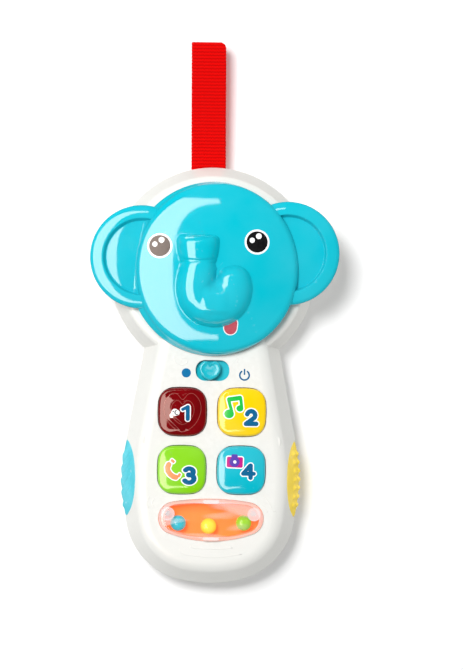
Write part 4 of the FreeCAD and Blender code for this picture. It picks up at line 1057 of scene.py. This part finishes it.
def strap_path(step=0.16):
    """Centre line of the webbing seen from the side: round the pin, up, over the top and down again."""
    right = [(1.85, PIN_Z), (1.75, PIN_Z + 1.2), (0.62, PIN_Z + 4.6), (0.6, 80.0), (0.62, 84.0), (0.75, 92.0),
             (1.1, 104.0), (1.6, 114.0), (1.95, 121.0), (1.9, 125.4), (1.15, STRAP_TOP - 0.95),
             (0.0, STRAP_TOP - 0.58)]
    left = [(-y, z) for y, z in right[-2::-1]]
    under = [(-1.3, PIN_Z - 1.35), (0.0, PIN_Z - 1.85), (1.3, PIN_Z - 1.35)]
    points = np.array(right + left + under)
    dense = curve_through(np.vstack([points, points[:1]]), 39, before=points[-1], after=points[1])
    length = np.concatenate([[0], np.cumsum(np.hypot(*np.diff(dense, axis=0).T))])
    s = np.linspace(0, length[-1], int(length[-1] / step), endpoint=False)
    path = np.stack([np.interp(s, length, dense[:, 0]), np.interp(s, length, dense[:, 1])], 1)
    ahead = np.roll(path, -1, 0) - np.roll(path, 1, 0)
    ahead /= np.linalg.norm(ahead, axis=1)[:, None]
    return path + (PIN_Y, 0.0), np.stack([ahead[:, 1], -ahead[:, 0]], 1), s


def make_strap():
    """Ribbed webbing in one loop, from the pin inside the head to the top and back."""
    path, normal, s = strap_path()
    s = s[:, None]
    u = np.linspace(-1, 1, STRAP_COLUMNS + 1)
    wave = np.abs(np.cos(math.pi * (s / RIB_PITCH + 0.07 * np.sign(np.sin(math.pi * u * 9.5)))))
    edge = 1 - np.clip((np.abs(u) - 0.93) / 0.07, 0, 1) ** 2 * 0.45
    lift = (0.34 + 0.26 * wave) * edge
    wobble = 0.06 * np.sin(s / RIB_PITCH * 2 * math.pi) + 0.05 * np.sin(s / 9.0)
    height = path[:, 1:]
    corner = 1 - np.sqrt(1 - (np.clip(height - (STRAP_TOP - 2.6), 0, 2.0) / 2.0) ** 2)
    x = STRAP_X + STRAP_HALF_WIDTH * u + wobble * np.sign(u) * (np.abs(u) > 0.95)
    x = x + STRAP_LEAN * (STRAP_TOP - height) - 1.4 * corner * np.clip(u, 0, 1)
    sides = []
    for out in (lift, -lift):
        side = spots(x, path[:, :1] + out * normal[:, :1], height + out * normal[:, 1:])
        sides.append(side.reshape(-1, 3))
    wide, half = STRAP_COLUMNS + 1, len(sides[0])
    faces = grid_faces(len(s), wide, closed=True)
    faces += [tuple(half + i for i in reversed(face)) for face in faces]
    for a in range(0, half, wide):
        b = (a + wide) % half
        faces += [(a + k, b + k, half + b + k, half + a + k) for k in (0, STRAP_COLUMNS)]
    strap = add_mesh("strap_webbing", np.concatenate(sides), faces, "strap", None, crease=70,
                     slot="strap_red", replaced=["strap_loop", "strap_end"])
    # rib heights, which the webbing material turns into painted shade in the troughs
    relief = strap.data.attributes.new("rib", "FLOAT", "POINT")
    relief.data.foreach_set("value", np.tile(wave.ravel(), 2))
    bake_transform(strap)


# ---- stage, light and camera
VIEW_CENTRE = (7.5, -12.0, 15.6)
VIEW_HEIGHT = 258.3
VIEW_DISTANCE = 1200.0
VIEW_AZIMUTH = 1.75
VIEW_ROLL = 0.65
SOFTBOX_GLOW = 8.4
LAMP_PLACE = (-0.34, -1.22, 0.36)
LAMP_POWER = 15.5
WORLD_GLOW = 0.48                        # even light on matt surfaces
WORLD_GLOSS = 0.06                       # what the gloss surfaces mirror beside the softbox
SHEET_BOUNCE = 1.8                       # what the sheet throws back at the toy
SHEET_SHADE = 0.75                       # the same where the toy lies on it


def stage_mesh(name, verts, faces, material):
    mesh = bpy.data.meshes.new(name)
    mesh.from_pydata(verts, [], faces)
    mesh.materials.append(material)
    obj = new_object(name, mesh)
    return obj


def make_sheet():
    """A pale sheet behind the toy, seen from the front only; it throws even light back at the toy."""
    s = Shader("backdrop_paper")
    paper = srgb(242, 242, 242)
    s.paint({"Base Color": s.mottled(darker(paper, 0.01), paper, 0.02, 2), "Roughness": 0.9,
             "Specular IOR Level": 0.1})
    rays = s.add("LightPath").outputs
    bounce = s.remap(rays["Ray Length"], SHEET_SHADE, SHEET_BOUNCE, 2 * MM, 12 * MM)
    front = s.mix(rays["Is Camera Ray"], s.add("Emission", {"Strength": bounce}), s.bsdf)
    behind = s.add("NewGeometry").outputs["Backfacing"]
    s.surface(s.mix(behind, front, s.add("BsdfTransparent")))
    s.material.cycles.emission_sampling = "NONE"
    size = 1.6
    verts = [(x, 0.0006, z) for x, z in ((-size, -size), (size, -size), (size, size), (-size, size))]
    sheet = stage_mesh("backdrop", verts, [(0, 1, 2, 3)], s.material)
    sheet.visible_glossy = sheet.visible_transmission = sheet.visible_shadow = False


def oval_reach(theta, half_az, half_el, power):
    """Distance in degrees from the middle to the edge of a squarish oval, in direction theta."""
    across, up = np.abs(np.cos(theta)) / half_az, np.abs(np.sin(theta)) / half_el
    return (across ** power + up ** power) ** (-1 / power)


def make_softbox():
    """A tall C of light on the left: a broad panel with thin arms reaching over and under the camera."""
    distance, columns, rows = 0.95, 48, 8
    theta = np.radians(np.linspace(101, 259, columns + 1))[:, None]
    inner, outer = oval_reach(theta, 31.0, 31.5, 3.2), oval_reach(theta, 71.0, 33.4, 5.0)
    reach = inner + (outer - inner) * np.linspace(0, 1, rows + 1)
    az, el = np.radians(9.0 + reach * np.cos(theta)), np.radians(1.4 + reach * np.sin(theta))
    verts = spots(np.sin(az) * np.cos(el), -np.cos(az) * np.cos(el), np.sin(el)) * distance + (0, 0, 0.03)
    s = Shader("softbox_light")
    s.surface(s.add("Emission", {"Strength": SOFTBOX_GLOW, "Color": (1.0, 0.8, 0.69, 1.0)}))
    faces = grid_faces(columns + 1, rows + 1)
    panel = stage_mesh("softbox", verts.reshape(-1, 3).tolist(), faces, s.material)
    panel.visible_camera = panel.visible_diffuse = panel.visible_shadow = False


def make_lights():
    """A soft lamp at the upper left, and even light all round that the gloss barely mirrors."""
    data = bpy.data.lights.new("key_light", "AREA")
    data.size = 0.4
    data.energy = LAMP_POWER
    lamp = new_object("key_light", data)
    lamp.location = LAMP_PLACE
    lamp.rotation_mode = "QUATERNION"
    lamp.rotation_quaternion = (Vector((0, 0, 0.02)) - Vector(LAMP_PLACE)).to_track_quat("-Z", "Y")
    lamp.visible_glossy = False
    world = bpy.data.worlds.new("studio")
    scene.world = world
    world.use_nodes = True
    sky = Nodes(world.node_tree)
    rays = sky.add("LightPath").outputs
    dim = sky.remap(rays["Is Glossy Ray"], WORLD_GLOW, WORLD_GLOSS, 0.0, 1.0)
    strength = sky.combine("MAXIMUM", dim, rays["Is Camera Ray"])
    sky.fill(sky.tree.nodes["Background"], {"Color": (1.0, 1.0, 1.0, 1.0), "Strength": strength})
    scene.view_settings.view_transform = "Standard"
    scene.cycles.transparent_max_bounces = 32


def make_camera():
    """The photo's view: far off, a little to the right, and slightly rolled."""
    data = bpy.data.cameras.new("camera")
    data.sensor_width = 36.0
    data.lens = 36.0 * VIEW_DISTANCE / VIEW_HEIGHT
    camera = new_object("camera", data)
    turn = math.radians(VIEW_AZIMUTH)
    look = Vector((math.sin(turn), math.cos(turn), 0.0))
    camera.location = Vector(VIEW_CENTRE) * MM - look * VIEW_DISTANCE * MM
    aim = look.to_track_quat("-Z", "Y")
    camera.rotation_mode = "QUATERNION"
    camera.rotation_quaternion = aim @ Quaternion((0, 0, 1), math.radians(VIEW_ROLL))
    scene.camera = camera


# ---- build
finish_cad_nodes()
make_face()
make_eyes_and_tongue()
make_keys()
make_switch_cap()
make_panel_prints()
make_panel_ridges()
make_window()
make_window_details()
make_grip(-1, "left", "grip_teal", grip_ridges, 7.0)
make_grip(1, "right", "grip_yellow", grip_bumps, 4.6)
make_strap()
make_sheet()
make_softbox()
make_lights()
make_camera()
